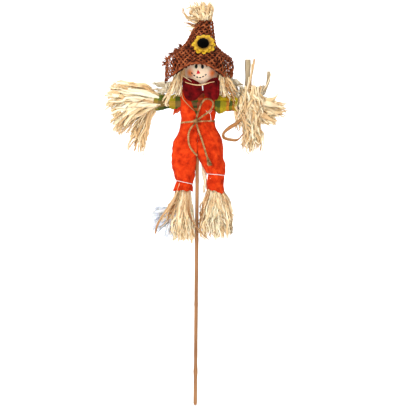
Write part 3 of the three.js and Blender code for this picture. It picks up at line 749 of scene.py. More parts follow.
BLACK_PAINT = grained_material("black_paint", (6, 6, 6), (16, 14, 12), 900, 1, 0.35, 0.05)
RED_PAINT = grained_material("red_paint", (206, 2, 22), (230, 16, 36), 500, 1, 0.6, 0.1)
SEED_PILE = grained_material("seed_pile", (0, 0, 0), (6, 5, 4), 1600, 1, 1.0, 0.9, 0.0, 0.05)
PETAL = petal_material("petal_cloth", (84, 54, 0), (180, 132, 0), (224, 182, 8))
HEAD_CENTRE = np.array([5.0, 0.0, 503.7])
FACE = face_material("face_cloth", (255, 232, 204), (250, 208, 172), (255, 128, 48),
                     [(-12.6, -17.6, 499), (21.6, -18, 499)], 10.5)
print("materials:", len(bpy.data.materials))

# %% [markdown]
# ## Twine belt and its bow
# A length of jute twine goes once round the waist and is tied in a single bow, with one loop up
# on the chest and two tails down. Twine is two plies laid round each other, so each ply is a
# tube on a screw line about the cord's route. The routes are those of the solid model.

# %% Belt, knot, loop and tails
TWINE_RADIUS = 1.5
LOOP_ROUTE = [
    (-1.9, -20, 430.6), (-0.9, -18.6, 435), (1, -18.6, 441), (3.6, -18.6, 448.5),
    (6.4, -18.6, 454.5), (10.2, -18.6, 459), (15.5, -18.6, 460.4), (20.2, -18.6, 458.6),
    (23, -18.6, 454.6), (22.4, -18.6, 449), (19.4, -18.6, 444.2), (15, -18.6, 440),
    (10.4, -18.6, 436.6), (6, -18.6, 433.4), (1.3, -19.8, 429.6)]
TAIL_LEFT_ROUTE = [
    (-4.2, -21.2, 423.4), (-6.8, -21.2, 420.2), (-9.4, -21.2, 416.9), (-11.6, -21.2, 413),
    (-13, -21.2, 408.6), (-13.6, -21.2, 404), (-13.6, -21.2, 399.2), (-13, -21.2, 394.4),
    (-11.5, -21.2, 389.8), (-9.2, -21.2, 385.4), (-6.4, -21.2, 381.6), (-3.4, -21.2, 378.4),
    (-0.4, -21.2, 375.6)]
TAIL_RIGHT_ROUTE = [
    (-1.6, -21.2, 422.8), (-0.4, -21.2, 419), (0.8, -21.2, 415), (2.2, -21.2, 411),
    (3.7, -21.2, 407), (5.2, -21.2, 403), (6.6, -21.2, 399), (7.9, -21.2, 395),
    (9.2, -21.2, 391), (10.4, -21.2, 387), (11.6, -21.2, 383), (12.8, -21.2, 379),
    (14, -21.2, 375)]


def knot_surface(centre, radii):
    """A tied lump: three fat turns of twine, each an oval ring tipped a different way."""
    turns = np.arange(40) / 40 * TAU
    bodies = []
    for tip in (0.5, -0.6, 1.5):
        across = np.array([math.cos(tip), 0.0, math.sin(tip)])
        path = (centre + np.cos(turns)[:, None] * across * radii[0] * 0.62
                + np.sin(turns)[:, None] * np.array([0.0, radii[1] * 0.75, 0.0]))
        bodies.append(twisted_cord(path, TWINE_RADIUS, closed=True))
    return joined(bodies)


def frayed_end(top, bottom, width, count, rng):
    """Loose jute fibres that spread from top to bottom."""
    start = np.asarray(top) + rng.uniform(-0.6, 0.6, (count, 3))
    end = np.asarray(bottom) + rng.uniform(-1, 1, (count, 3)) * width
    steps = np.linspace(0, 1, 8)[None, :, None]
    wave = np.sin(steps * rng.uniform(2, 7, (count, 1, 1)) + rng.uniform(0, TAU, (count, 1, 1)))
    paths = (start[:, None] * (1 - steps) + end[:, None] * steps
             + wave * steps * rng.normal(0, 0.5, (count, 1, 3)))
    return joined([tube(path, 0.26, 4) for path in paths])


def belt_surface():
    """A ring of twine round the waist that comes forward to the knot."""
    turn = np.arange(300) / 300 * TAU
    x = 0.2 + 25.2 * np.cos(turn)
    forward = 3.6 * np.exp(-(((x + 2.5) / 6) ** 2)) * (np.sin(turn) < 0)
    y = 15.4 * np.sin(turn) - forward
    return twisted_cord(np.stack([x, y, 426.6 + 0.06 * x], axis=1), TWINE_RADIUS, closed=True)


rng = np.random.default_rng(7)
piece("belt_twine_ring", belt_surface(), TWINE, "twine", "root", ["belt_twine"])
knot = piece("belt_bow_knot", knot_surface(np.array([-2.5, -20.9, 427.0]), (4.0, 2.2)),
             TWINE, "twine", "root", ["belt_knot"])
fray = piece("belt_tail_fray", frayed_end((14.2, -21.2, 376), (18.8, -21.2, 361.5),
                                          (3.6, 1.6, 1.6), 70, rng),
             TWINE, "twine", "root", ["tail_fray"])
for name, route, far_end, others in (
        ("bow_loop", LOOP_ROUTE, "object", [knot]), ("belt_tail_left", TAIL_LEFT_ROUTE, "bare", []),
        ("belt_tail_right", TAIL_RIGHT_ROUTE, "bare", [fray])):
    path = even_path(route, 0.6)
    cord = piece(f"twine_{name}", twisted_cord(path, TWINE_RADIUS), TWINE, "twine", "root", [name])
    print(f"{name}: {path_length(path):.1f} mm of twine")

# %% [markdown]
# ## Cane stake
# A thin natural cane, straight but not perfectly round, with small knots where leaves grew. It
# could be turned as a plain rod; the knots and the slight flats are what make it read as cane.

# %% Stake
STAKE_TOP = 500.0
STAKE_KNOTS = ((50, 0.5, 5), (66, -0.25, 6), (250, 0.22, 4), (152, 0.3, 3), (338, 0.3, 3))


def stake_surface():
    """Rings up the Z axis. The radius is 2.8, plus a bell at each knot, plus slow noise."""
    z = np.concatenate([[0, 0.4, 1.2], np.linspace(3, STAKE_TOP, 330)])
    angle = np.arange(28) / 28 * TAU
    radius = np.where(z < 251, 2.8, 2.7) * np.array([0.5, 0.75, 0.9] + [1.0] * 330)
    for height, swell, reach in STAKE_KNOTS:
        radius = radius + swell * np.exp(-((z - height) / reach) ** 2)
    rings = np.stack([np.outer(radius, np.cos(angle)), np.outer(radius, np.sin(angle)),
                      np.repeat(z[:, None], 28, 1)], axis=2)
    outward = unit(rings * [1, 1, 0])
    return loft(rings + outward * ripple(rings * [1, 1, 0.12], 6, 3)[..., None] * 0.06)


piece("cane_stake", stake_surface(), CANE, "cane", "root", ["stake"])

# %% [markdown]
# ## Felt jumpsuit and plaid shirt
# The trunk's outline is a table of superellipses. The shirt is the same outline a little
# smaller, and the bib is cut away in a V and at the armholes, so the shirt shows there. Cloth
# that is tied at a waist or an ankle gathers into pleats, which fade away from the tie.

# %% Trunk cloth
TRUNK = [
    [386.4, 0.2, 38.4, 19.3, 2.8], [393, 0.6, 37.4, 19.2, 2.7], [401, 1.2, 34.8, 18.6, 2.7],
    [410, 1.2, 30.5, 16.8, 2.5], [420, 0.6, 26, 15, 2.3], [427, 0.2, 23.8, 14, 2.2],
    [437, 0, 25.5, 14.3, 2.2], [448, -0.3, 27.5, 14.8, 2.2], [460, -0.5, 29, 14.8, 2.2],
    [469, -0.5, 27.7, 13.4, 2.2], [475, -0.3, 22.5, 11, 2.1], [478, 0, 13.5, 8.6, 2]]
WAIST_Z = 427.0
NECKLINE = [(-1.5, 434), (9.5, 460), (11, 490), (-15, 490), (-13.5, 466)]
ARMHOLE_X = 25.2


def trunk_rings(z, inset, columns):
    """The trunk's superellipse rings at the heights z, moved in by inset."""
    cx, wide, deep, power = stations(TRUNK, z).T
    angle = np.arange(columns) / columns * TAU
    c, s = oval(angle[None], power[:, None])
    return np.stack([cx[:, None] + (wide[:, None] - inset) * c, (deep[:, None] - inset) * s,
                     np.repeat(z[:, None], columns, 1)], axis=2)


def out_from_axis(rings):
    """The level direction away from the middle of each ring."""
    return unit((rings - rings.mean(axis=1, keepdims=True)) * [1, 1, 0])


def snap_to(points, corners, reach):
    """Points (x, z) within reach of the closed outline through corners move onto it."""
    a = np.asarray(corners, float)
    b = np.roll(a, -1, 0)
    t = np.clip(((points[:, None] - a) * (b - a)).sum(-1) / ((b - a) ** 2).sum(-1), 0, 1)
    near = a + t[..., None] * (b - a)
    away = np.linalg.norm(points[:, None] - near, axis=-1)
    best = near[np.arange(len(points)), away.argmin(1)]
    return np.where(away.min(1)[:, None] < reach, best, points)


def inside(points, corners):
    """Which points (x, z) lie inside an outline, by counting the edges above each."""
    a = np.asarray(corners, float)
    b = np.roll(a, -1, 0)
    x, z = points[:, None, 0], points[:, None, 1]
    spans = (a[:, 0] > x) != (b[:, 0] > x)
    level = a[:, 1] + (x - a[:, 0]) / np.where(a[:, 0] == b[:, 0], 1, b[:, 0] - a[:, 0]) * (
        b[:, 1] - a[:, 1])
    return (spans & (z < level)).sum(1) % 2 == 1


def bib_surface():
    """The upper overalls: the trunk outline with waist pleats and soft dents, cut away at the
    neckline and beyond ARMHOLE_X at the arms."""
    z = np.linspace(425.5, 477, 92)
    rings = trunk_rings(z, 0, 220)
    outward = out_from_axis(rings)
    pleat = np.cos(np.arange(220) / 220 * TAU * 17 + 2 * ripple(rings, 30, 5))
    shape = (0.55 * pleat * np.exp(-np.abs(rings[..., 2] - WAIST_Z) / 7)
             + 0.45 * ripple(rings, 17, 11) + 0.25 * ripple(rings, 7, 12))
    rings = rings + outward * np.maximum(shape, -0.9)[..., None]
    faces, _ = quads(92, 220, True)
    flat = rings.reshape(-1, 3)
    front = flat[:, 1] < 0
    flat[front] = np.insert(snap_to(flat[front][:, [0, 2]], NECKLINE, 0.45), 1,
                            flat[front][:, 1], axis=1)
    middle = flat[faces].mean(1)
    neck = inside(middle[:, [0, 2]], NECKLINE) & (middle[:, 1] < 0)
    edge = ARMHOLE_X + 0.5 * ripple(middle, 9, 14)
    arms = (np.abs(middle[:, 0]) > edge) & (np.abs(middle[:, 2] - 457) < 16)
    return sheet_of(rings, 1.1, wrap=True, keep=~(neck | arms))


def shirt_surface():
    """The shirt's front, back and shoulders, just inside the bib."""
    z = np.linspace(416, 477.6, 56)
    rings = trunk_rings(z, 1.75, 160)
    rings = rings + out_from_axis(rings) * 0.3 * ripple(rings, 8, 21)[..., None]
    return sheet_of(rings, 0.5, wrap=True)


piece("overalls_bib", bib_surface(), ORANGE_FELT, "orange_felt", "root", ["overalls_top"])
piece("plaid_shirt", shirt_surface(), SHIRT_PLAID, "plaid_cloth", "root", ["shirt_body"])

# %% [markdown]
# ## Trousers
# Each half of the trousers is one piece of cloth from the waist to the cuff, because that is
# how felt trousers are sewn: two tubes, joined by a seam down the middle. Above the crotch the
# section is half of the trunk's outline, closed along the seam; below it is the leg's oval.
# Near the hip its section is blended from the body's outline to the leg's.

# %% Trouser halves
LEGS = {
    "left": dict(
        side=-1, tie=(335.4, 0.2), hem=(322.8, 0.0),
        cloth=[[318, 22.8, 15.4, 12.6], [325, 21.6, 14.2, 11.6], [331, 20, 12.8, 10.4],
               [336, 18.7, 12.4, 10.2], [343, 18.6, 14.2, 11.4], [350, 19.1, 16.2, 13],
               [362, 19.8, 18.4, 15.4], [374, 19.6, 19.1, 16], [386, 19.1, 19.1, 16.6],
               [430, 18.9, 18.9, 16.4]]),
    "right": dict(
        side=1, tie=(347.4, -0.08), hem=(322.4, -0.3),
        cloth=[[316, 27, 13.2, 11.6], [325, 27.2, 12.8, 11.4], [337, 27.6, 12.4, 10.8],
               [347, 28.8, 12.4, 10.4], [352, 27.6, 13.8, 11.8], [358, 25.8, 15.6, 13.6],
               [366, 23.4, 17.8, 15], [376, 20.6, 19.6, 15.6], [386, 19, 19, 16.4],
               [430, 19, 19, 16.4]])}
LEG_COLUMNS = 132


def trouser_rings(leg, z, inset=0.0):
    """Rings of one trouser half at the heights z (one value, or one for each column, a row),
    with x counted outward from the middle seam until the last step."""
    z = np.broadcast_to(np.asarray(z, float), (len(z), LEG_COLUMNS)).copy()
    flat = z.ravel()
    angle = np.tile(np.arange(LEG_COLUMNS) / LEG_COLUMNS * TAU, len(z))
    side = leg["side"]
    cx, wide, deep = stations(leg["cloth"], flat).T
    tx, t_wide, t_deep, power = stations(TRUNK, np.maximum(flat, 386.4)).T
    c, s = oval(angle, power)
    body = fade(flat, 360, 385)
    leg_x = cx + (wide - inset) * np.cos(angle)
    body_x = np.where(c > 0, side * tx + (t_wide - inset) * c, 0.12)
    x = leg_x * (1 - body) + body_x * body
    y = (deep - inset) * np.sin(angle) * (1 - body) + (t_deep - inset) * s * body
    groove = np.maximum(3.4 - x, 0) * np.exp(-((y / 5) ** 4)) * (1 - fade(flat, 404, 410))
    x = x + np.where(c < 0, groove, 0)
    points = np.stack([side * x, y, flat], axis=1).reshape(*z.shape, 3)
    tie_z, slope = leg["tie"]
    height = flat.reshape(z.shape) - tie_z - slope * (x.reshape(z.shape) - 22)
    middle = np.stack([side * cx * (1 - body), 0 * y, flat], axis=1).reshape(points.shape)
    outward = unit((points - middle) * [1, 1, 0])
    turn = np.arange(LEG_COLUMNS) / LEG_COLUMNS * TAU
    warp = 1.2 * ripple(points, 22, 31)
    pleats = np.cos(11 * turn + warp) + 0.6 * np.cos(23 * turn + 2 * warp)
    near_tie = np.exp(-np.abs(height) / np.where(height > 0, 7.0, 9.0))
    near_waist = np.exp(-np.maximum(WAIST_Z - points[..., 2], 0) / 15)
    creases = 1 - 1.6 * np.abs(ripple(points * [1, 1, 0.6], 26, 33))
    slant = points @ np.array([[0.8, 0.3, 0], [0, 0.6, 0], [0.5 * side, 0, 0.5]])
    shape = (1.0 * pleats * near_tie * (1 - np.exp(-np.abs(height) / 1.5))
             + 0.8 * pleats * near_waist + 0.2 * ripple(points, 24, 35)
             + 0.35 * ripple(slant, 8, 36) + 0.35 * creases + 0.5)
    calm = 1 - 0.75 * np.exp(-(height / 2.5) ** 2)
    return points + outward * (np.maximum(shape, -1.1) * calm)[..., None]


def trouser_surface(leg):
    """The cloth from the waist down to the hem, and back up inside as far as the tie."""
    angle = np.arange(LEG_COLUMNS) / LEG_COLUMNS * TAU
    hem_z, slope = leg["hem"]
    edge = hem_z + slope * 13 * np.cos(angle) + 0.7 * np.cos(5 * angle + 1) + 0.5 * np.cos(
        9 * angle + 2)
    down = np.linspace(0, 1, 150)[:, None]
    outer = trouser_rings(leg, 429 * (1 - down) + edge[None] * down)
    up = np.linspace(0, 1, 10)[:, None]
    inner = trouser_rings(leg, edge[None] * (1 - up) + (hem_z + 9) * up, 1.1)
    return loft(np.concatenate([outer, inner]))


for name, side in SIDES:
    leg = LEGS[name]
    trousers = piece(f"trousers_{name}", trouser_surface(leg), ORANGE_FELT, "orange_felt",
                     stands_for=[f"seat_{name}", f"{name}_trouser_leg"])
    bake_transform(trousers)
    tie_z, slope = leg["tie"]
    x = np.cos(np.arange(LEG_COLUMNS) / LEG_COLUMNS * TAU)
    ring = trouser_rings(leg, np.repeat(tie_z + slope * 13 * x[None], 2, 0), -0.5)[0]
    faces, uv = quads(LEG_COLUMNS + 1, 6, True)
    s, l = frame_of(ring, True, up=(0, 0, 1))
    turn = np.arange(6) / 6 * TAU
    rings = ring[:, None] + 0.45 * (s[:, None] * np.cos(turn)[:, None]
                                    + l[:, None] * np.sin(turn)[:, None])
    piece(f"ankle_elastic_{name}",
          (rings.reshape(-1, 3), faces % (LEG_COLUMNS * 6), uv), THREAD, "thread",
          f"{name}_leg", [f"{name}_ankle_tie"])

# %% [markdown]
# ## Sleeves
# A sleeve is a plaid tube that is gathered once near the shoulder and opens at the cuff, where
# the raffia of the hand comes out. Its hem is a raw cut edge, so it isn't quite straight.

# %% Sleeves
SLEEVES = {
    "left": [[-8, 8, 7.6], [0, 11.6, 10.4], [7, 10.9, 9.9], [13.5, 9.4, 8.8],
             [20, 11, 10], [29, 13.2, 11.6], [37, 14.2, 12.2]],
    "right": [[-8, 8, 7.6], [0, 11.8, 10.4], [7, 11.6, 10], [13.5, 9.6, 8.8],
              [20, 11.4, 10.2], [26, 12.6, 11], [31, 14, 12]]}


SLEEVE_SAG = {"left": 0.1, "right": 0.5}     # how far the cloth hangs below the arm


def sleeve_surface(name, side):
    """Rings out along the arm, and back inside the cuff. Pleats stand round the gather."""
    table = SLEEVES[name]
    columns = 96
    angle = np.arange(columns) / columns * TAU
    hem = table[-1][0] + 0.5 * np.cos(4 * angle) + 0.4 * np.cos(9 * angle + 1)
    go = np.linspace(0, 1, 70)[:, None]
    back = np.linspace(0, 1, 8)[:, None]
    out = np.concatenate([-6 * (1 - go) + hem * go, hem * (1 - back) + 24 * back])
    inset = np.repeat([0.0, 0.6], [70, 8])[:, None]
    tall, deep = stations(table, out.ravel()).T.reshape(2, *out.shape)
    tall = tall * (1 + SLEEVE_SAG[name] * np.exp(-((out - 7) / 14) ** 2) * (np.sin(angle) < 0))
    points = np.stack([side * (SHOULDER[0] + out), (deep - inset) * np.cos(angle),
                       SHOULDER[2] + (tall - inset) * np.sin(angle)], axis=2)
    outward = unit(points - (points * [1, 0, 0] + SHOULDER * [0, 0, 1]))
    pleat = np.cos(10 * angle + ripple(points, 16, 41))
    shape = (0.55 * pleat * np.exp(-((out - 13.5) / 6) ** 2) + 0.4 * ripple(points, 11, 42)
             + 0.2 * ripple(points, 5, 43))
    return loft(points + outward * shape[..., None])


for name, side in SIDES:
    sleeve = piece(f"sleeve_{name}", sleeve_surface(name, side), SLEEVE_PLAIDS[name],
                   "plaid_cloth", stands_for=[f"{name}_sleeve"])
    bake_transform(sleeve)


def frill_surface():
    """A ragged flap of cut plaid that hangs from the armhole: a small wavy sheet."""
    u, v = np.meshgrid(np.linspace(0, 1, 22), np.linspace(0, 1, 20), indexing="ij")
    x = -25.5 - 9.5 * v - 2.2 * u * v
    z = 452 - 14.5 * u * (0.62 + 0.38 * v) - 1.2 * v + 0.7 * np.cos(9 * v) * u
    y = -7.5 + 3.2 * v + 1.3 * np.cos(8 * v + 2 * u) * u
    return sheet_of(np.stack([x, y, z], axis=2), 0.6)


piece("shirt_frill", frill_surface(), FRILL_PLAID, "plaid_cloth", "root")

# %% [markdown]
# ## Head
# A foam ball in a stretched cover, which is drawn in under the chin. The eyes, nose and stitched
# smile are drops of paint: flat lenses laid on the ball, so they keep a crisp edge.

# %% Head and face
HEAD_RADIUS = 25.0


def head_surface():
    """A ball whose lower end is drawn to a neck of radius 6, with pleats round the draw."""
    t = np.linspace(0.03, 1, 74)
    z = 25 * np.cos(t * math.pi * 0.93)
    radius = np.sqrt(np.maximum(25**2 - z**2, 1)) * (1 - 0.12 * fade(-z, 17, 25))
    columns = 120
    angle = np.arange(columns) / columns * TAU
    pleat = 0.5 * np.cos(15 * angle) * fade(-z, 16, 25)[:, None]
    radius = radius[:, None] + pleat
    rings = np.stack([radius * np.cos(angle), radius * np.sin(angle),
                      np.repeat(z[:, None], columns, 1)], axis=2)
    return loft(HEAD_CENTRE + rings)


def paint_drop(x, z, half_wide, half_tall, lean=0.0, corners=0, thick=0.3):
    """A lens of paint on the ball, centred at (x, z) as seen from the front. corners bends its
    round outline towards a polygon."""
    angle = np.arange(28) / 28 * TAU
    reach = np.array([0.06, 0.35, 0.65, 0.88, 1.0, 1.0, 0.5, 0.06])[:, None]
    height = np.array([1, 0.95, 0.8, 0.5, 0.0, -1.3, -1.3, -1.3])[:, None] * thick
    shape = 1 if not corners else np.cos(math.pi / corners) / np.cos(
        (angle % (TAU / corners)) - math.pi / corners)
    a, b = half_wide * reach * np.cos(angle) * shape, half_tall * reach * np.sin(angle) * shape
    dx = x - HEAD_CENTRE[0] + a * math.cos(lean) - b * math.sin(lean)
    dz = z - HEAD_CENTRE[2] + a * math.sin(lean) + b * math.cos(lean)
    ball = HEAD_RADIUS + 0.05 + height
    dy = -np.sqrt(ball**2 - dx**2 - dz**2)
    return loft(HEAD_CENTRE + np.stack([dx, dy, dz], axis=2))


head = piece("head_cover_cloth", head_surface(), FACE, "skin_cloth", "root", ["head_cover"])
piece("eyes", joined([paint_drop(-2.7, 508.3, 2.1, 3.2), paint_drop(6.7, 507.9, 2.2, 3.3)]),
      BLACK_PAINT, "skin_cloth", "root")
piece("nose", paint_drop(0.4, 499.4, 4.2, 3.9, lean=math.radians(98), corners=3),
      RED_PAINT, "skin_cloth", "root")
SMILE = [(-9.0, 499.3, -0.75), (-5.4, 495.9, -0.6), (-1.0, 493.4, -0.3), (3.4, 492.9, 0.1),
         (7.6, 494.3, 0.4), (11.6, 496.9, 0.6)]
piece("smile", joined([paint_drop(x, z - 0.9, 1.7, 0.95, lean) for x, z, lean in SMILE]),
      BLACK_PAINT, "skin_cloth", "root")

# %% [markdown]
# ## Raffia
# Raffia is a strip of dry palm leaf, two to five millimetres wide. Each strip here is a closed
# flat tube with six points round its section: a curled lens, which twists as it goes. Its
# middle line is a cubic curve that leaves the root one way and arrives at the tip another, with
# a slow wander and a finer crinkle. A bunch is worked out as one array of strips.


# %% Raffia helpers
SECTION_X = np.array([-1, -0.5, 0.5, 1, 0.5, -0.5])
SECTION_Y = np.array([0, 1, 1, 0, -1, -1])
TO_FRONT = (0.0, -1.0, 0.0)


def box_points(rng, count, low, high):
    """Random points in a box."""
    return rng.uniform(low, high, (count, 3))


def curves(rng, start, leave, end, arrive, sway, crinkle, steps):
    """Cubic curves from start to end. leave and arrive are directions; sway is the sideways
    wander as a share of the length, and crinkle the height of the fine waves in millimetres."""
    n = len(start)
    s = np.linspace(0, 1, steps)[None, :, None]
    third = np.linalg.norm(end - start, axis=1)[:, None, None] * 0.36
    a, d = start[:, None], end[:, None]
    b = a + unit(np.broadcast_to(leave, (n, 3)))[:, None] * third
    c = d - unit(np.broadcast_to(arrive, (n, 3)))[:, None] * third
    path = a * (1 - s)**3 + 3 * b * s * (1 - s)**2 + 3 * c * s**2 * (1 - s) + d * s**3
    for pace, size in ((1.3, sway * third), (2.9, sway * third * 0.4), (7.5, crinkle)):
        for _ in range(2):
            phase, speed = rng.uniform(0, TAU, (n, 1, 1)), pace * rng.uniform(0.7, 1.4, (n, 1, 1))
            path = path + size * s * unit(rng.normal(size=(n, 1, 3))) * np.cos(
                speed * s * TAU + phase)
    return path


def strips(rng, paths, width, twist=0.35, curl=0.45, loose=0.5, face=TO_FRONT, taper=0.45,
           tone=(0.05, 0.5), thick=0.2, turned=0.3):
    """Leaf strips along paths [strip, step, xyz]. width is a (low, high) range, twist the turns
    from root to tip, loose how far the strips turn from facing the direction face."""
    n, steps = paths.shape[:2]
    s = np.linspace(0, 1, steps)[None]
    along = unit(np.gradient(paths, axis=1))
    face = unit(np.asarray(face) + loose * rng.normal(size=(n, 3)))[:, None]
    side = unit(np.cross(along, face))
    lift = np.cross(side, along)
    turn = (turned * rng.normal(0, 1, (n, 1)) + s * TAU * twist * rng.normal(0, 1, (n, 1))
            + turned * np.cos(s * 9 + rng.uniform(0, TAU, (n, 1))))[..., None]
    across = side * np.cos(turn) + lift * np.sin(turn)
    up = lift * np.cos(turn) - side * np.sin(turn)
    half = rng.uniform(*width, (n, 1)) / 2
    half = (half * (0.75 + 0.25 * fade(s, 0, 0.2)) * (1 - taper * fade(s, 0.5, 1))
            * (1 + 0.16 * np.cos(s * rng.uniform(5, 14, (n, 1)) + rng.uniform(0, TAU, (n, 1)))))
    bend = curl * half * rng.uniform(0.3, 1.5, (n, 1)) * rng.choice([-1, 1], (n, 1))
    x = half[..., None] * SECTION_X
    y = thick / 2 * SECTION_Y + bend[..., None] * (1 - SECTION_X**2)
    points = paths[:, :, None] + across[:, :, None] * x[..., None] + up[:, :, None] * y[..., None]
    wall, wall_uv = quads(steps, 6, True)
    caps = end_caps(steps, 6)
    one = np.concatenate([wall, caps])
    faces = (one[None] + (np.arange(n) * steps * 6)[:, None, None]).reshape(-1, 4)
    uv = np.concatenate([wall_uv, np.zeros((len(caps), 4, 2))])
    uv = (uv[None] + rng.uniform(0, 9, (n, 1, 1, 2))).reshape(-1, 4, 2)
    shade = rng.uniform(*tone, (n, 1)) + 0.08 * np.cos(s * 5 + rng.uniform(0, TAU, (n, 1)))
    return (points.reshape(-1, 3), faces, uv), np.repeat(shade.ravel(), 6)


def bunch(rng, count, start, leave, end, arrive, width, sway=0.12, crinkle=0.4, steps=16, **look):
    """A bunch of strips: start and end are (low, high) boxes or ready arrays of points."""
    start = box_points(rng, count, *start) if isinstance(start, tuple) else start
    end = box_points(rng, count, *end) if isinstance(end, tuple) else end
    return strips(rng, curves(rng, start, leave, end, arrive, sway, crinkle, steps), width, **look)


def single(rng, route, width, steps=22, **look):
    """One strip along a stated route."""
    path = even_path(route, path_length(np.asarray(route, float)) / 200)
    pick = np.linspace(0, len(path) - 1, steps).round().astype(int)
    return strips(rng, path[pick][None], (width, width), **look)


def fan(rng, side, root, count, angles, reach, depth, lift, dip, width, root_size=(3, 5, 6),
        **look):
    """Strips that spread from root in the plane of the arm. angles are degrees above the
    outward direction and reach the lengths. Each strip leaves lift degrees above its own angle
    and arrives dip degrees below it, so it arches."""
    a = np.radians(rng.uniform(*angles, count))
    r = reach[0] + (reach[1] - reach[0]) * rng.random(count) ** 0.6
    y = depth[0] + (depth[1] - depth[0]) * (0.5 + 0.5 * np.sin(rng.uniform(-1.57, 1.57, count)))
    root = np.asarray(root, float)
    end = root + np.stack([side * r * np.cos(a), y, r * np.sin(a)], axis=1)
    start = root + rng.uniform(-1, 1, (count, 3)) * root_size + np.stack(
        [0 * y, 0.3 * y, 0 * y], axis=1)

    def toward(turn):
        b = a + np.radians(turn)
        return np.stack([side * np.cos(b), 0.35 * y / r * np.sign(turn + 1e-6), np.sin(b)], axis=1)
    return bunch(rng, count, start, toward(lift), end, toward(-dip), width, **look)


def raffia_piece(name, bunches, body, nodes, material=RAFFIA):
    """One piece made of several bunches, with the tone of each strip as an attribute."""
    return piece(name, joined([b[0] for b in bunches]), material, "raffia", body, nodes,
                 tone=np.concatenate([b[1] for b in bunches]))


# %% [markdown]
# ## Hands
# The left hand is a broad fan that arches out of the cuff, with a few strands that hang down.
# The right hand was twisted into a loose knot: strips loop round its middle, a crinkled bunch
# hangs below it, blades point outward and a few stiff ones stand up.

# %% Hands
UP, DOWN, LEFTWARD, RIGHTWARD = (0, 0, 1), (0, 0, -1), (-1, 0, 0), (1, 0, 0)
rng = np.random.default_rng(11)
LEFT_ROOT = (-59, 0, 456)
raffia_piece("raffia_hand_left", [
    fan(rng, -1, LEFT_ROOT, 130, (-42, 21), (64, 79), (-15, 15), 22, 22, (3.4, 7.4),
        root_size=(3, 7, 10), crinkle=0.45, loose=0.6, tone=(0.1, 0.6)),
    fan(rng, -1, LEFT_ROOT, 30, (8, 24), (58, 74), (-13, 13), 46, 34, (4, 7.5), crinkle=0.3,
        loose=0.4, tone=(0.15, 0.55)),
    fan(rng, -1, LEFT_ROOT, 36, (-36, 22), (44, 74), (-19, -12), 14, 10, (6, 11), crinkle=0.3,
        sway=0.1, loose=0.3, curl=0.6, twist=0.15, tone=(0.25, 0.7)),
    fan(rng, -1, LEFT_ROOT, 26, (-30, 20), (50, 72), (12, 19), 14, 10, (5, 8.5), crinkle=0.1,
        sway=0.05, loose=0.2, curl=0.6, twist=0.1, tone=(0.3, 0.6)),
    fan(rng, -1, LEFT_ROOT, 50, (-75, -55), (58, 80), (-11, 9), 26, 12, (2.8, 5.6), crinkle=0.8,
        loose=0.7, tone=(0.0, 0.5)),
    fan(rng, -1, LEFT_ROOT, 24, (-58, -38), (40, 68), (-10, 10), 20, 18, (2.2, 4.4), crinkle=0.5,
        tone=(0.1, 0.5))], "left_arm", ["left_hand_raffia"])


def swirl(rng, count, centre, radius, depth, width, span=(2.0, 4.4), **look):
    """Strips that loop round a middle point: arcs of an ellipse, nearer to the front the
    closer they are to the middle."""
    s = np.linspace(0, 1, 18)[None]
    r = rng.uniform(*radius, (count, 1)) * (1 + 0.12 * np.cos(s * 7 + rng.uniform(0, 6, (count, 1))))
    a = rng.uniform(0, TAU, (count, 1)) + s * rng.uniform(*span, (count, 1))
    y = depth[0] + (depth[1] - depth[0]) * (r / radius[1]) ** 1.6 + rng.normal(0, 1.0, (count, 1))
    path = np.stack([centre[0] + r * 0.92 * np.cos(a), centre[1] + y,
                     centre[2] + r * 1.05 * np.sin(a)], axis=2)
    return strips(rng, path, width, **look)


KNOT = (79, 0, 456)
SPIKES = [
    ([(80, -10, 466), (79, -11, 488), (82, -9, 505), (84.6, -7, 522)], 3.6, 0.0),
    ([(76, -12, 462), (76.5, -12, 484), (80, -10, 500), (80.5, -8, 514)], 3.0, 0.25),
    ([(82, -12, 462), (83, -10, 485), (88, -6, 500), (92, -4, 516)], 1.5, 0.45),
    ([(96, -9, 472), (103, -8, 482), (109, -6, 497), (112, -5, 511)], 1.4, 0.35),
    ([(60, -15, 434), (66, -17, 452), (73, -16, 472), (76.5, -13, 494)], 2.0, 0.5),
    ([(64, -15, 440), (68, -17, 458), (74, -15, 476), (79, -13, 492)], 2.2, 0.4)]
# Upright blades drawn in the darker copy of the raffia, as painted shade.
SHADED_SPIKES = [
    ([(74, -8, 462), (74.4, -8, 482), (74.6, -6, 503), (74.8, -4, 521)], 8.4, 0.12),
    ([(98, -4, 468), (103, -3, 480), (106, -2, 491), (106.5, -1, 504)], 5.0, 0.15)]
SIDE_LOOP = [(64, -21, 429), (57, -22, 423), (49, -23, 418), (42, -23, 412.5), (38, -23, 407),
             (38.5, -23, 402), (43, -23, 399.4), (50, -23, 398), (57, -22.5, 397.4),
             (62, -22, 400.5), (67, -21, 407)]
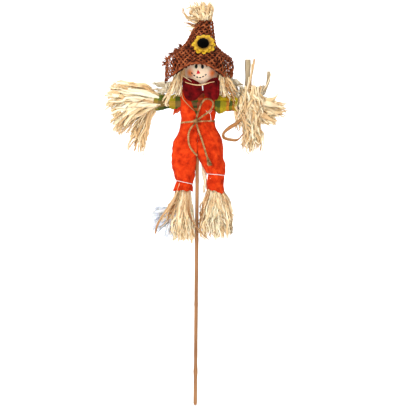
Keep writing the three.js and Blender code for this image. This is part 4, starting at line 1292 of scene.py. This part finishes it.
raffia_piece("raffia_hand_right", [
    fan(rng, 1, (58, 0, 456), 60, (-34, 30), (18, 32), (-13, 13), 20, 30, (2.6, 4.8), loose=0.6,
        crinkle=0.5, tone=(0.05, 0.5)),
    swirl(rng, 30, KNOT, (6, 23), (-18, -11), (2.6, 5), span=(1.2, 3.2), tone=(0.1, 0.55),
          loose=0.45),
    bunch(rng, 40, ((66, -15, 462), (98, -8, 482)), (0, -0.6, -1), ((64, -19, 432), (98, -12, 450)),
          (0, 0.2, -1), (2.6, 5), crinkle=0.7, sway=0.28, tone=(0.1, 0.6), loose=0.45),
    swirl(rng, 30, KNOT, (5, 23), (18, 9), (2.6, 4.6), span=(1.4, 3.6), tone=(0.0, 0.45),
          loose=0.35),
    swirl(rng, 26, KNOT, (8, 22), (-4, 6), (3, 5), tone=(-0.1, 0.3)),
    bunch(rng, 74, ((62, -16, 446), (94, 4, 462)), (0.05, -0.2, -1), ((68, -17, 380), (98, 2, 398)),
          DOWN, (2.2, 4.6), crinkle=0.9, sway=0.16, tone=(0.05, 0.55), loose=0.6),
    bunch(rng, 34, ((62, -2, 444), (92, 12, 460)), (0, 0.2, -1), ((70, -2, 386), (96, 9, 402)),
          DOWN, (2.6, 5), crinkle=0.9, sway=0.16, tone=(-0.1, 0.35)),
    bunch(rng, 62, ((76, -12, 442), (92, 10, 466)), (1, 0, 0), ((114, -7, 436), (136, 5, 455)),
          (1, 0, -0.1), (3.4, 7.0), crinkle=0.4, sway=0.08, tone=(0.15, 0.6), taper=0.6),
    bunch(rng, 46, ((76, -12, 438), (92, 8, 452)), (1, 0, -0.2), ((96, -10, 422), (119, 5, 442)),
          (1, 0, -0.5), (3, 6.0), crinkle=0.5, sway=0.1, tone=(0.1, 0.55), taper=0.5),
    bunch(rng, 22, ((82, -12, 452), (94, 4, 464)), (1, 0, 0.3), ((104, -6, 452), (120, 2, 465)),
          (1, 0, 0.35), (3, 6), crinkle=0.4, tone=(0.1, 0.55), taper=0.5),
    bunch(rng, 24, ((56, -12, 434), (70, 2, 448)), (-0.3, -0.3, -1), ((58, -12, 412), (70, -2, 430)),
          (0.2, 0, -1), (2.2, 4), crinkle=0.8, tone=(0.0, 0.5)),
    bunch(rng, 34, ((64, 12, 466), (97, 18, 484)), (0, 0.4, -1), ((62, 15, 428), (99, 20, 446)),
          (0, -0.2, -1), (2.8, 5.4), face=(0, 1, 0), crinkle=0.7, sway=0.25, tone=(0.0, 0.5)),
    single(rng, SIDE_LOOP, 5.2, steps=48, twist=0.12, curl=0.6, turned=0.1, tone=(-0.15, -0.1)),
    single(rng, [(p[0] + 1.5, p[1] + 0.8, p[2] + 1.8) for p in SIDE_LOOP[1:]], 3.6, steps=44,
           twist=0.3, turned=0.2, tone=(-0.2, 0.0)),
    single(rng, [(84, -13, 452), (100, -12, 446), (118, -8, 442), (133, -4, 443.5)], 13, steps=24,
           twist=0.06, turned=0.1, loose=0.2, taper=0.8, tone=(0.25, 0.3)),
    single(rng, [(84, -11, 458), (102, -11, 455), (118, -6, 452), (130, -3, 447)], 11, steps=24,
           twist=0.06, turned=0.1, loose=0.2, taper=0.8, tone=(0.4, 0.45)),
    single(rng, [(84, -12, 446), (98, -12, 438), (110, -8, 431), (119, -4, 429)], 10, steps=24,
           twist=0.06, turned=0.1, loose=0.2, taper=0.7, tone=(0.1, 0.2)),
    single(rng, [(90, -9, 460), (104, -8, 459), (114, -5, 462), (121, -3, 470)], 8, steps=24,
           twist=0.06, turned=0.1, loose=0.2, taper=0.8, tone=(0.2, 0.3))]
    + [single(rng, route, width, twist=0.05, loose=0.1, taper=0.25, turned=0.15,
              tone=(shade, shade + 0.05)) for route, width, shade in SPIKES],
    "right_arm", ["right_hand_raffia"])
# This bunch and the blades below take the darker raffia copy: painted shade.
raffia_piece("raffia_hand_right_shaded", [
    bunch(rng, 26, ((82, -8, 458), (94, 2, 470)), (0.3, 0, 1), ((84, -6, 472), (102, 2, 485)),
          (0.6, 0, 1), (5, 8), crinkle=0.4, tone=(0.3, 0.7), taper=0.2)]
    + [single(rng, route, width, twist=0.02, loose=0.05, taper=0.1, turned=0.08,
              tone=(shade, shade + 0.05)) for route, width, shade in SHADED_SPIKES],
    "right_arm", [], RAFFIA_PAINTED_SHADE)

# %% [markdown]
# ## Feet
# A foot is a bunch of coarser raffia that is tied into the cuff and cut off below. The left
# one throws a few strips outward, with some thin pale leaf behind them, and a few strands
# cross in front of the cane.

# %% Feet
rng = np.random.default_rng(23)
STOUT = [(-26, -5, 334), (-31, -10, 316), (-43, -11, 296), (-54, -10, 281), (-60, -9, 268),
         (-62, -8, 258)]
CROSSING = [(-15, -8, 326), (-16, -14, 297), (-9, -16, 280), (1, -14, 268), (9, -12, 260),
            (16, -11, 253)]
raffia_piece("raffia_foot_left", [
    bunch(rng, 190, ((-27, -5, 334), (-11, 5, 344)), DOWN, ((-37, -15, 247), (-3.5, 15, 262)),
          (-0.05, 0, -1), (2.0, 4.4), crinkle=0.7, sway=0.1, steps=20, tone=(0.1, 0.65)),
    bunch(rng, 46, ((-27, -5, 332), (-12, 5, 342)), DOWN, ((-42, -13, 266), (-6, 13, 290)),
          (-0.2, 0, -1), (1.8, 3.8), crinkle=0.8, steps=18, tone=(0.05, 0.55)),
    bunch(rng, 16, ((-28, -5, 328), (-22, 0, 336)), (-0.3, 0, -1), ((-56, -12, 262), (-38, -4, 292)),
          (-0.4, 0, -1), (1.4, 3.2), crinkle=0.8, steps=18, tone=(-0.1, 0.4)),
    single(rng, STOUT, 4.6, curl=1.1, twist=0.1, tone=(-0.05, 0.0)),
    single(rng, [(p[0] + 1, p[1] - 1.5, p[2] + 4) for p in STOUT[:5]], 2.6, tone=(0.1, 0.2))]
    + [single(rng, [(x + 2.2 * k, y - 0.8 * k, z - 3.0 * k) for x, y, z in CROSSING], 2.4 - 0.3 * k,
              tone=(-0.12, 0.1)) for k in range(4)],
    "left_leg", ["left_foot_raffia"], RAFFIA_FOOT)
raffia_piece("thin_leaf_left", [
    bunch(rng, 16, ((-36, -2, 288), (-28, 6, 300)), (-1, 0, -0.4), ((-71, -2, 262), (-50, 6, 296)),
          (-1, 0, -0.5), (6, 10), crinkle=0.4, curl=0.15, loose=0.1, twist=0.05, turned=0.15,
          tone=(0.2, 0.6), taper=0.1),
    bunch(rng, 10, ((-36, -4, 280), (-24, 4, 292)), (-0.5, 0, -1), ((-50, -8, 252), (-32, -2, 262)),
          (-0.3, 0, -1), (5, 8), crinkle=0.4, curl=0.15, loose=0.1, twist=0.05, turned=0.15,
          tone=(0.2, 0.6), taper=0.1)],
    "left_leg", [], LEAF)
raffia_piece("raffia_foot_right", [
    bunch(rng, 220, ((20, -6, 332), (36, 6, 346)), DOWN, ((5, -16, 251), (49, 16, 266)),
          (0.03, 0, -1), (1.8, 4.0), crinkle=1.2, sway=0.12, steps=22, tone=(0.1, 0.7)),
    bunch(rng, 60, ((20, -6, 330), (36, 6, 340)), (0.1, 0, -1), ((6, -16, 272), (53, 14, 300)),
          (0.05, 0, -1), (1.8, 3.6), crinkle=1.1, steps=18, tone=(0.05, 0.6)),
    bunch(rng, 30, ((28, -6, 330), (36, 6, 338)), (0.3, 0, -1), ((44, -12, 262), (55, 12, 284)),
          (-0.1, 0, -1), (2.0, 4.4), crinkle=1.0, steps=18, tone=(0.0, 0.5)),
    bunch(rng, 26, ((19, -6, 330), (25, 6, 338)), (-0.3, 0, -1), ((3.5, -14, 262), (12, 12, 300)),
          (0.0, 0, -1), (2.0, 4.0), crinkle=1.0, steps=18, tone=(-0.1, 0.45))],
    "right_leg", ["right_foot_raffia"], RAFFIA_FOOT)
raffia_piece("raffia_foot_right_shaded", [
    bunch(rng, 16, ((42, 2, 292), (48, 8, 300)), (0.3, 0, -1), ((44, -2, 256), (54, 10, 268)),
          DOWN, (4, 7), crinkle=0.8, tone=(0.1, 0.5))],
    "right_leg", [], RAFFIA_PAINTED_SHADE)
raffia_piece("raffia_foot_right_inner", [
    bunch(rng, 7, ((6, 7, 362), (9, 11, 368)), (0.2, 0, -1), ((10, 8, 310), (16, 12, 324)),
          DOWN, (3, 5), crinkle=0.5, tone=(0.4, 0.9), turned=0.1)],
    "right_leg", [], RAFFIA_FOOT)

# %% [markdown]
# ## Hair
# The hair is tucked under the hat and falls in front of the sleeves. Some strips fold back at
# their ends, which gives the rounded tips on the left side. A tuft of it also stands out of
# the open crown.

# %% Hair and tuft
rng = np.random.default_rng(31)
raffia_piece("hair_front_left", [
    bunch(rng, 34, ((-34, -20, 506), (-23, -13, 516)), (-0.2, -0.5, -1),
          ((-44, -26, 458), (-26, -21, 480)), (-0.3, 0, -1), (1.4, 3.0), sway=0.1, loose=0.35,
          crinkle=0.6, tone=(0.0, 0.6)),
    bunch(rng, 14, ((-31, -20, 498), (-25, -16, 508)), (-0.4, -0.5, -1),
          ((-54, -26, 450), (-46, -22, 460)), (-0.5, 0, -0.7), (1.6, 3.2), sway=0.08, loose=0.3,
          crinkle=0.5, tone=(0.0, 0.55)),
    bunch(rng, 5, ((-44, -24, 464), (-40, -22, 470)), (-0.7, -0.2, -1),
          ((-47, -26, 449), (-43, -23, 452)), (1, 0, -0.2), (3, 4.4), loose=0.2, tone=(0.1, 0.5)),
    bunch(rng, 30, ((-31, -10, 506), (-26, 14, 520)), (-0.3, 0, -1),
          ((-38, -14, 464), (-29, 16, 478)), (0, 0, -1), (2.6, 4.6), face=LEFTWARD, loose=0.3,
          tone=(0.0, 0.5))], "root", ["hair_left"])
raffia_piece("hair_front_right", [
    bunch(rng, 40, ((31, -20, 502), (38, -10, 514)), (0.3, -0.5, -1),
          ((36, -25, 456), (60, -19, 480)), (0.6, 0, -1), (1.8, 3.8), sway=0.1, loose=0.35,
          crinkle=0.6, tone=(-0.1, 0.5)),
    bunch(rng, 12, ((30, -21, 498), (36, -17, 508)), (0.1, -0.5, -1),
          ((31, -26, 462), (42, -22, 476)), (0.1, 0, -1), (1.6, 3.4), loose=0.35,
          tone=(0.2, 0.6)),
    bunch(rng, 30, ((34, -8, 506), (38, 14, 518)), (0.3, 0, -1),
          ((36, -12, 464), (46, 16, 480)), (0, 0, -1), (2.6, 4.6), face=RIGHTWARD, loose=0.3,
          tone=(0.0, 0.5))], "root", ["hair_right"])
# The hanks over the sleeve tops take the darker copy of the raffia: painted shade where they lie behind the
# hair.
SLEEVE_TOPS = {
    "left": bunch(rng, 24, ((-43, -12, 470), (-37, -2, 486)), (-1, 0, 0),
                  ((-70, -12, 467), (-54, 2, 484)), (-1, 0, -0.2), (3, 5.4), loose=0.3,
                  tone=(0.3, 0.7), taper=0.2),
    "right": bunch(rng, 26, ((36, -14, 488), (44, -6, 500)), (1, -0.2, -0.6),
                   ((54, -18, 462), (70, -8, 484)), (1, 0, -0.5), (3.4, 6), loose=0.3,
                   tone=(0.2, 0.6), taper=0.2)}
for name, side in SIDES:
    hank = raffia_piece(f"sleeve_top_raffia_shaded_{name}", [SLEEVE_TOPS[name]], None, [], RAFFIA_PAINTED_SHADE)
    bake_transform(hank)
raffia_piece("hair_back", [
    bunch(rng, 90, ((-24, 24, 510), (32, 30, 522)), (0, 0.3, -1), ((-26, 22, 458), (33, 29, 476)),
          (0, -0.1, -1), (2.6, 4.8), face=(0, 1, 0), loose=0.3, sway=0.1, tone=(0.0, 0.5)),
    bunch(rng, 30, ((-22, 20, 510), (30, 25, 520)), (0, 0.3, -1), ((-24, 18, 462), (31, 24, 476)),
          DOWN, (3, 5), face=(0, 1, 0), loose=0.3, tone=(-0.1, 0.4))], "root", ["hair_back"])
raffia_piece("hat_tuft_raffia", [
    bunch(rng, 96, ((5, -6, 556), (13, 6, 572)), (0, 0, 1), ((-13, -13, 590), (21, 13, 607)),
          (-0.3, 0, 0.6), (2.2, 4.8), crinkle=0.6, sway=0.16, tone=(0.05, 0.55)),
    bunch(rng, 50, ((4, -7, 566), (11, 6, 578)), (-0.4, 0, 1), ((-17, -13, 580), (-2, 12, 601)),
          (-0.8, 0, -0.3), (2.4, 5.2), crinkle=0.8, sway=0.18, tone=(0.1, 0.6)),
    bunch(rng, 14, ((5, -8, 572), (12, -4, 580)), (0, -0.3, 1), ((-8, -14, 592), (16, -8, 606)),
          (-0.2, 0, 0.8), (4, 6.5), crinkle=0.4, sway=0.1, tone=(0.2, 0.6)),
    bunch(rng, 8, ((8, -4, 575), (13, 4, 582)), (0.1, 0, 1), ((4, -6, 604), (22, 6, 610)),
          (0.1, 0, 1), (2.0, 4), crinkle=0.5, tone=(0.1, 0.5)),
    bunch(rng, 7, ((0, -8, 574), (4, 2, 580)), (-1, 0, 0), ((-27, -8, 594), (-22, 0, 600)),
          (-0.1, 0, 1), (1.6, 3.0), crinkle=0.5, steps=18, tone=(0.0, 0.3)),
    bunch(rng, 6, ((0, -8, 566), (4, 0, 572)), (-1, 0, 0), ((-28, -8, 562), (-16, 2, 577)),
          (-1, 0, -0.1), (1.8, 4), crinkle=0.5, tone=(-0.1, 0.3))], "root", ["hat_tuft"])
raffia_piece("chest_strip", [
    single(rng, [(-24.5, -25.5, 508), (-24.5, -27.5, 495), (-24.3, -28.3, 478), (-23, -27.5, 462),
                 (-16, -22, 453), (-9, -18.6, 446), (-4.4, -17.4, 442)], 1.5, steps=34, twist=0.1,
           loose=0.1, taper=0.0, tone=(-0.1, 0.0))], "root", ["chest_strand"])
raffia_piece("bow_strip", [
    single(rng, [(-23, -28.5, 486.4), (-15, -30.6, 482.8), (-5, -30.4, 480.4), (4, -28.4, 480.2),
                 (10, -28.6, 481.4), (17, -30.4, 483.6), (25, -30.2, 485.4)], 1.5, steps=40,
           twist=0.05, loose=0.05, taper=0.2, tone=(0.1, 0.2)),
    single(rng, [(-24, -27.5, 494.5), (-19, -29.6, 491.4), (-13, -30.4, 487.4), (-9, -30.4, 484.6)],
           1.3, steps=24, twist=0.05, loose=0.1, taper=0.4, tone=(0.2, 0.3))], "root", ["bow_strand"])

# %% [markdown]
# ## Hat
# The hat is a piece of open jute weave, cut as a flat fan and rolled into a cone, so its yarns
# run slantwise and the raw edge frays. The weave is laid out in that flat fan: straight yarns
# both ways, each over one and under the next, and every point is then carried to the cone. A
# second layer lies behind the front, where the cloth is doubled and the holes are closed.
# The second layer's jute is a much darker copy of the hat's: painted shade that makes the outer yarns stand
# out.

# %% Woven hat
HAT_FRONT = [[0, 12, 579], [0.2, 19, 565], [0.4, 26, 551.5], [0.6, 34, 537], [0.8, 41, 523.5],
             [1, 46, 514]]
HAT_SIDE = [[0, 12, 579], [0.2, 17.5, 560], [0.4, 24, 543.5], [0.6, 37, 532], [0.8, 50, 519],
            [1, 50, 487]]
HAT_BACK = [[0, 12, 579], [0.2, 18, 563], [0.4, 26, 548], [0.6, 36, 535], [0.8, 44, 521],
            [1, 48, 500]]
HAT_LEAN = 10.0
FAN_SHARE = 0.47         # angle in the flat fan for each degree round the hat
FAN_START = 25.5         # the fan's inner radius
YARN_PITCH = 5.8
YARN_HALF_WIDTH = 1.0
YARN_HALF_THICK = 0.75
FRONT_BRIM = 1.05        # the doubled front edge comes down a little lower


def hat_point(s, angle):
    """The hat's surface at s, from the crown (0) to the brim (1), and at an angle round it."""
    inside_s = np.clip(s, 0, 1)
    sideways = np.cos(angle) ** 2
    rows = [stations(t, inside_s) for t in (HAT_FRONT, HAT_BACK, HAT_SIDE)]
    facing = np.where((np.sin(angle) < 0)[:, None], rows[0], rows[1])
    at = facing * (1 - sideways[:, None]) + rows[2] * sideways[:, None]
    radius, z = at.T
    past = (s - inside_s) * 60
    z = z - past * 0.9
    radius = radius + past * 0.2
    lean = HAT_LEAN * (1 - inside_s) ** 2
    point = np.stack([lean + radius * np.cos(angle), radius * np.sin(angle), z], axis=1)
    soft = 1.2 * ripple(point, 46, 51)[:, None] * fade(s, 0.2, 0.9)[:, None]
    return point + unit(point - [0, 0, 520]) * soft


def hat_reach(angle):
    """The length of the cloth from the crown to the brim at each angle."""
    s = np.linspace(0, 1, 24)
    angles = np.linspace(-math.pi, math.pi, 73)
    grid = hat_point(np.tile(s, 73), np.repeat(angles, 24)).reshape(73, 24, 3)
    length = np.linalg.norm(np.diff(grid, axis=1), axis=2).sum(1)
    return np.interp((angle + math.pi) % TAU - math.pi, angles, length)


def yarn_run(s, angle, lift, half_width):
    """One flattened yarn along hat positions, raised from the cloth's middle by lift."""
    path = hat_point(s, angle)
    down = hat_point(s + 0.01, angle) - path
    round_ = hat_point(s, angle + 0.02) - path
    normal = unit(np.cross(round_, down))
    normal = normal * np.sign((normal * (path - [5, 0, 500])).sum(1))[:, None]
    path = path + normal * lift[:, None]
    along = unit(np.gradient(path, axis=0))
    side = unit(np.cross(along, normal))
    turn = np.arange(6) / 6 * TAU
    half = half_width * (1 + 0.18 * ripple(path, 7, 57))
    rings = (path[:, None] + side[:, None] * (half[:, None] * np.cos(turn))[..., None]
             + normal[:, None] * YARN_HALF_THICK * np.sin(turn)[:, None])
    return loft(rings)


def weave(half_span, shift, sink, fray, half_width, rng):
    """All yarns of one layer. half_span is half the fan's angle, shift moves the grid, sink
    sets the layer inward, and fray is how far a yarn may run past the brim's edge."""
    bodies = []
    span = 2 * (FAN_START + 112)
    lines = np.arange(-math.ceil(span / YARN_PITCH), math.ceil(span / YARN_PITCH))
    for family in (1, -1):
        u = np.array([math.sqrt(0.5), family * math.sqrt(0.5)])
        v = np.array([-u[1], u[0]])
        for line in lines:
            t = np.arange(-span, span, 1.5)
            wave = 0.35 * np.cos(t / 13 + line)
            flat = np.outer(t, u) + np.outer((line + shift) * YARN_PITCH + wave, v)
            rho, psi = np.hypot(*flat.T), np.arctan2(flat[:, 1], flat[:, 0])
            angle = -math.pi / 2 + psi / FAN_SHARE
            s = (rho - FAN_START) / hat_reach(angle)
            open_back = fade(np.sin(angle), 0.0, 0.4) * fade(-np.cos(angle), 0.15, 0.45)
            front = fade(-np.sin(angle), 0.25, 0.6)
            ragged = fray * rng.random() * (1 - front)
            limit = 1 + (FRONT_BRIM - 1) * front + ragged - 0.42 * open_back
            ok = (s > -0.01) & (s < limit) & (np.abs(psi) < half_span)
            starts = np.flatnonzero(ok & ~np.roll(ok, 1))
            stops = np.flatnonzero(ok & ~np.roll(ok, -1))
            for a, b in zip(starts, stops):
                if b - a < 5:
                    continue
                part = slice(a, b + 1)
                over = family * (1 - 2 * (line % 2)) * np.cos(math.pi * (t[part] / YARN_PITCH - shift))
                bodies.append(yarn_run(s[part], angle[part], 0.8 * over - sink, half_width))
    return joined(bodies)


rng = np.random.default_rng(47)
HALF_FAN = math.pi * FAN_SHARE
piece("woven_hat", weave(HALF_FAN - 0.004, 0.0, 0.4, 0.13, YARN_HALF_WIDTH, rng), HAT_JUTE, "burlap", "root",
      ["hat"])
# The inner layers wear the darker jute copy, which paints the shade inside the hat.
piece("woven_hat_lining", joined([weave(0.5, 0.5, 2.6, 0.0, 1.5, rng), weave(0.46, 0.25, 4.2, 0.0, 2.1, rng)]),
      HAT_JUTE_PAINTED_SHADE, "burlap", "root")
FRAYED = [(-25, 541, -1), (-32, 535, -1), (-39, 529, -1), (-45, 522, -1), (-48, 514, -1),
          (36, 527, 1), (42, 521, 1), (47, 514, 1)]
piece("hat_fray", joined([
    bunch(rng, 9, ((x - 1.5, -12, z - 2), (x + 1.5, 4, z + 1)), (side, 0, 0.3),
          ((x + 5 * side - 2, -13, z - 4), (x + 5 * side + 2, 5, z + 3)), (side, 0, -0.2),
          (1.5, 2.1), crinkle=0.2, steps=8, thick=0.7)[0]
    for x, z, side in FRAYED]), HAT_JUTE, "burlap", "root")
brim_angle = np.linspace(-math.pi / 2 - 0.95, -math.pi / 2 + 0.95, 140)
brim = hat_point(np.full(140, FRONT_BRIM - 0.01), brim_angle)
piece("brim_roll", twisted_cord(brim, 1.7, plies=3, lay=9), HAT_JUTE, "burlap", "root")

# %% [markdown]
# ## Sunflower
# Two rows of cupped cloth petals stand round a black pile eye. Each petal is one small sheet,
# wide in the middle and pointed at the tip, bent up along its midrib. The pile is a dome
# roughened with small waves.

# %% Sunflower
FLOWER_CENTRE = np.array([8.2, -35.4, 540.2])
FLOWER_TILT = math.radians(62)
EYE_RADIUS = 8.6


def on_flower(points):
    """Points of the flower's own plane turned to lie on the front of the hat."""
    c, s = math.cos(FLOWER_TILT), math.sin(FLOWER_TILT)
    x, y, z = np.moveaxis(points, -1, 0)
    return FLOWER_CENTRE + np.stack([x, y * c - z * s, y * s + z * c], axis=-1)


def petals_surface(count, length, half_width, start, rise, height, rng):
    """A ring of petals. One petal is a sheet whose half width is sin(pi s^0.8)^0.6 along its
    length s, cupped across and curled at the tip."""
    s, w = np.meshgrid(np.linspace(0, 1, 10), np.linspace(-1, 1, 9), indexing="ij")
    outline = np.maximum(np.sin(math.pi * (0.14 + 0.85 * s) ** 1.1), 0.03) ** 0.5
    bodies, reach = [], []
    for k in range(count):
        turn = (k + rng.uniform(-0.14, 0.14)) / count * TAU
        size = length * rng.uniform(0.76, 1.1)
        x = start + size * s
        y = half_width * rng.uniform(0.9, 1.12) * outline * w
        z = (height + rise * s * size + 0.9 * (w**2 - 0.3) * outline
             - rng.uniform(0.5, 2.0) * s**3 + 0.25 * np.cos(w * 7 + k))
        c, n = math.cos(turn), math.sin(turn)
        table = np.stack([x * c - y * n, x * n + y * c, z], axis=2)
        bodies.append(sheet_of(on_flower(table), 0.35))
        reach.append(np.tile(s.ravel(), 2) * 0.9 - 0.05)
    return joined(bodies), np.concatenate(reach)


def eye_surface():
    """A dome with a flat back, rough with pile."""
    t = np.linspace(0.02, 1, 40)
    columns = 72
    angle = np.arange(columns) / columns * TAU
    radius = EYE_RADIUS * np.sin(t * math.pi * 0.5)
    height = 5.2 * np.cos(t * math.pi * 0.5)
    rings = np.stack([np.outer(radius, np.cos(angle)), np.outer(radius, np.sin(angle)),
                      np.repeat(height[:, None], columns, 1)], axis=2)
    rough = 0.35 * ripple(rings, 2.2, 61) + 0.25 * ripple(rings, 1.2, 62)
    rings = rings * (1 + 0.05 * rough)[..., None]
    back = rings[-1:] * [0.3, 0.3, 0] + [0, 0, -0.4]
    return loft(on_flower(np.concatenate([rings, back]) + [-1, 0.8, 1.6]))


rng = np.random.default_rng(53)
outer_row, outer_reach = petals_surface(12, 11.2, 4.3, 6.4, 0.10, 0.5, rng)
inner_row, inner_reach = petals_surface(10, 8.6, 4.0, 6.4, 0.30, 1.3, rng)
piece("sunflower_petals", joined([outer_row, inner_row]), PETAL, "petal_cloth", "root",
      ["flower_petals"], reach=np.concatenate([outer_reach, inner_reach]))
piece("sunflower_eye", eye_surface(), SEED_PILE, "seed_pile", "root", ["flower_center"])

# %% [markdown]
# ## Bow tie
# The bow is a folded strip of dark red felt, pinched in the middle with a white stitch. Its
# section is a flat oval whose height follows the outline of the two wings and whose depth is
# smallest at the pinch, where pleats run into it.

# %% Bow
BOW_OUTLINE = [
    [-23.5, 487, 480], [-22.6, 491, 475], [-20, 491.8, 464.5], [-16, 491.2, 458.6],
    [-11, 490.2, 456.8], [-6, 488.6, 457.2], [-1, 486.2, 460.0], [4, 482.8, 465.4],
    [7.2, 481.0, 468.6], [10, 482.6, 466.6], [14, 486.4, 463.2], [20, 490.2, 460.2],
    [26, 491.9, 458.6], [30.5, 490.4, 461.5], [32.6, 485, 468]]


def bow_surface():
    """Upright oval rings from the left wing to the right one."""
    x = np.concatenate([np.linspace(-23.5, -22.6, 5)[:-1], np.linspace(-22.6, 31.8, 116),
                        np.linspace(31.8, 32.6, 5)[1:]])
    top, bottom = stations(BOW_OUTLINE, x).T
    columns = 88
    angle = np.arange(columns) / columns * TAU
    c, s = oval(angle, 2.5)
    from_pinch = np.abs(x - 7.2)
    ends = fade(np.minimum(x + 23.5, 28.8 - x), -0.6, 3)
    deep = (2.2 + 2.4 * fade(from_pinch, 0, 13)) * (0.35 + 0.65 * ends)
    y = -(24.6 + 0.6 * fade(from_pinch, 2, 12))[:, None] + deep[:, None] * s
    z = ((top + bottom) / 2)[:, None] + ((top - bottom) / 2)[:, None] * c
    points = np.stack([np.repeat(x[:, None], columns, 1), y, z], axis=2)
    pleat = np.cos(c[None] * 9 + 0.5 * ripple(points, 14, 71)) * np.exp(-from_pinch / 6)[:, None]
    fold = np.exp(-((z - (top[:, None] - 5 - 0.12 * from_pinch[:, None])) / 1.1) ** 2)
    wave = 0.5 * ripple(points, 15, 72) + 0.2 * ripple(points, 6, 73)
    shift = (0.7 * pleat - 0.9 * fold * fade(from_pinch, 2, 8)[:, None] + wave) * np.sign(s)
    points[..., 1] += shift * np.abs(s)
    return loft(points)


piece("red_bow", bow_surface(), RED_FELT, "red_felt", "root", ["bow_cloth"])
piece("bow_stitch", joined([
    tube(even_path([(6.6, -26.4, 481.5), (6.8, -28.2, 478.6), (7.1, -28.1, 475), (7.8, -26.2, 471)],
                   0.6), 0.42, 8),
    tube(even_path([(7.5, -26.4, 481), (7.6, -28.1, 478), (7.8, -27.9, 475.4), (8.4, -26, 472.6)],
                   0.6), 0.36, 8)]), THREAD, "thread", "root", ["bow_thread"])
piece("belt_stitch", joined([
    tube(even_path([(12.5, -16.6, 442.4), (15, -17.2, 440.6), (17.6, -17.4, 439.2),
                    (19.4, -17.2, 436), (19.8, -17.6, 431.5), (20.2, -16.8, 428)], 0.6), 0.3, 8),
    tube(even_path([(18, -17.2, 439.2), (20.2, -17, 441.4), (22, -16, 443.4)], 0.6), 0.24, 8)]),
      THREAD, "thread", "root", ["belt_thread"])

# %% [markdown]
# ## Inside pieces
# The stuffing, the foam ball, the rolls in the sleeves and the wires keep the shape that the
# solid model gives them, and only take their stuff.

# %% Materials of the inner CAD pieces
INNER = {"head_ball": FOAM, "neck_tie": THREAD, "body_stuffing": FIBREFILL,
         "shoulder_wire": WIRE}
for name, side in SIDES:
    INNER.update({f"{name}_arm_roll": RAFFIA, f"{name}_arm_wire": WIRE,
                  f"{name}_wrist_wire": WIRE, f"{name}_leg_stuffing": FIBREFILL})
for node, material in INNER.items():
    solid = bpy.data.objects[node]
    solid.data.materials.clear()
    solid.data.materials.append(material)
print("inner pieces:", ", ".join(INNER))
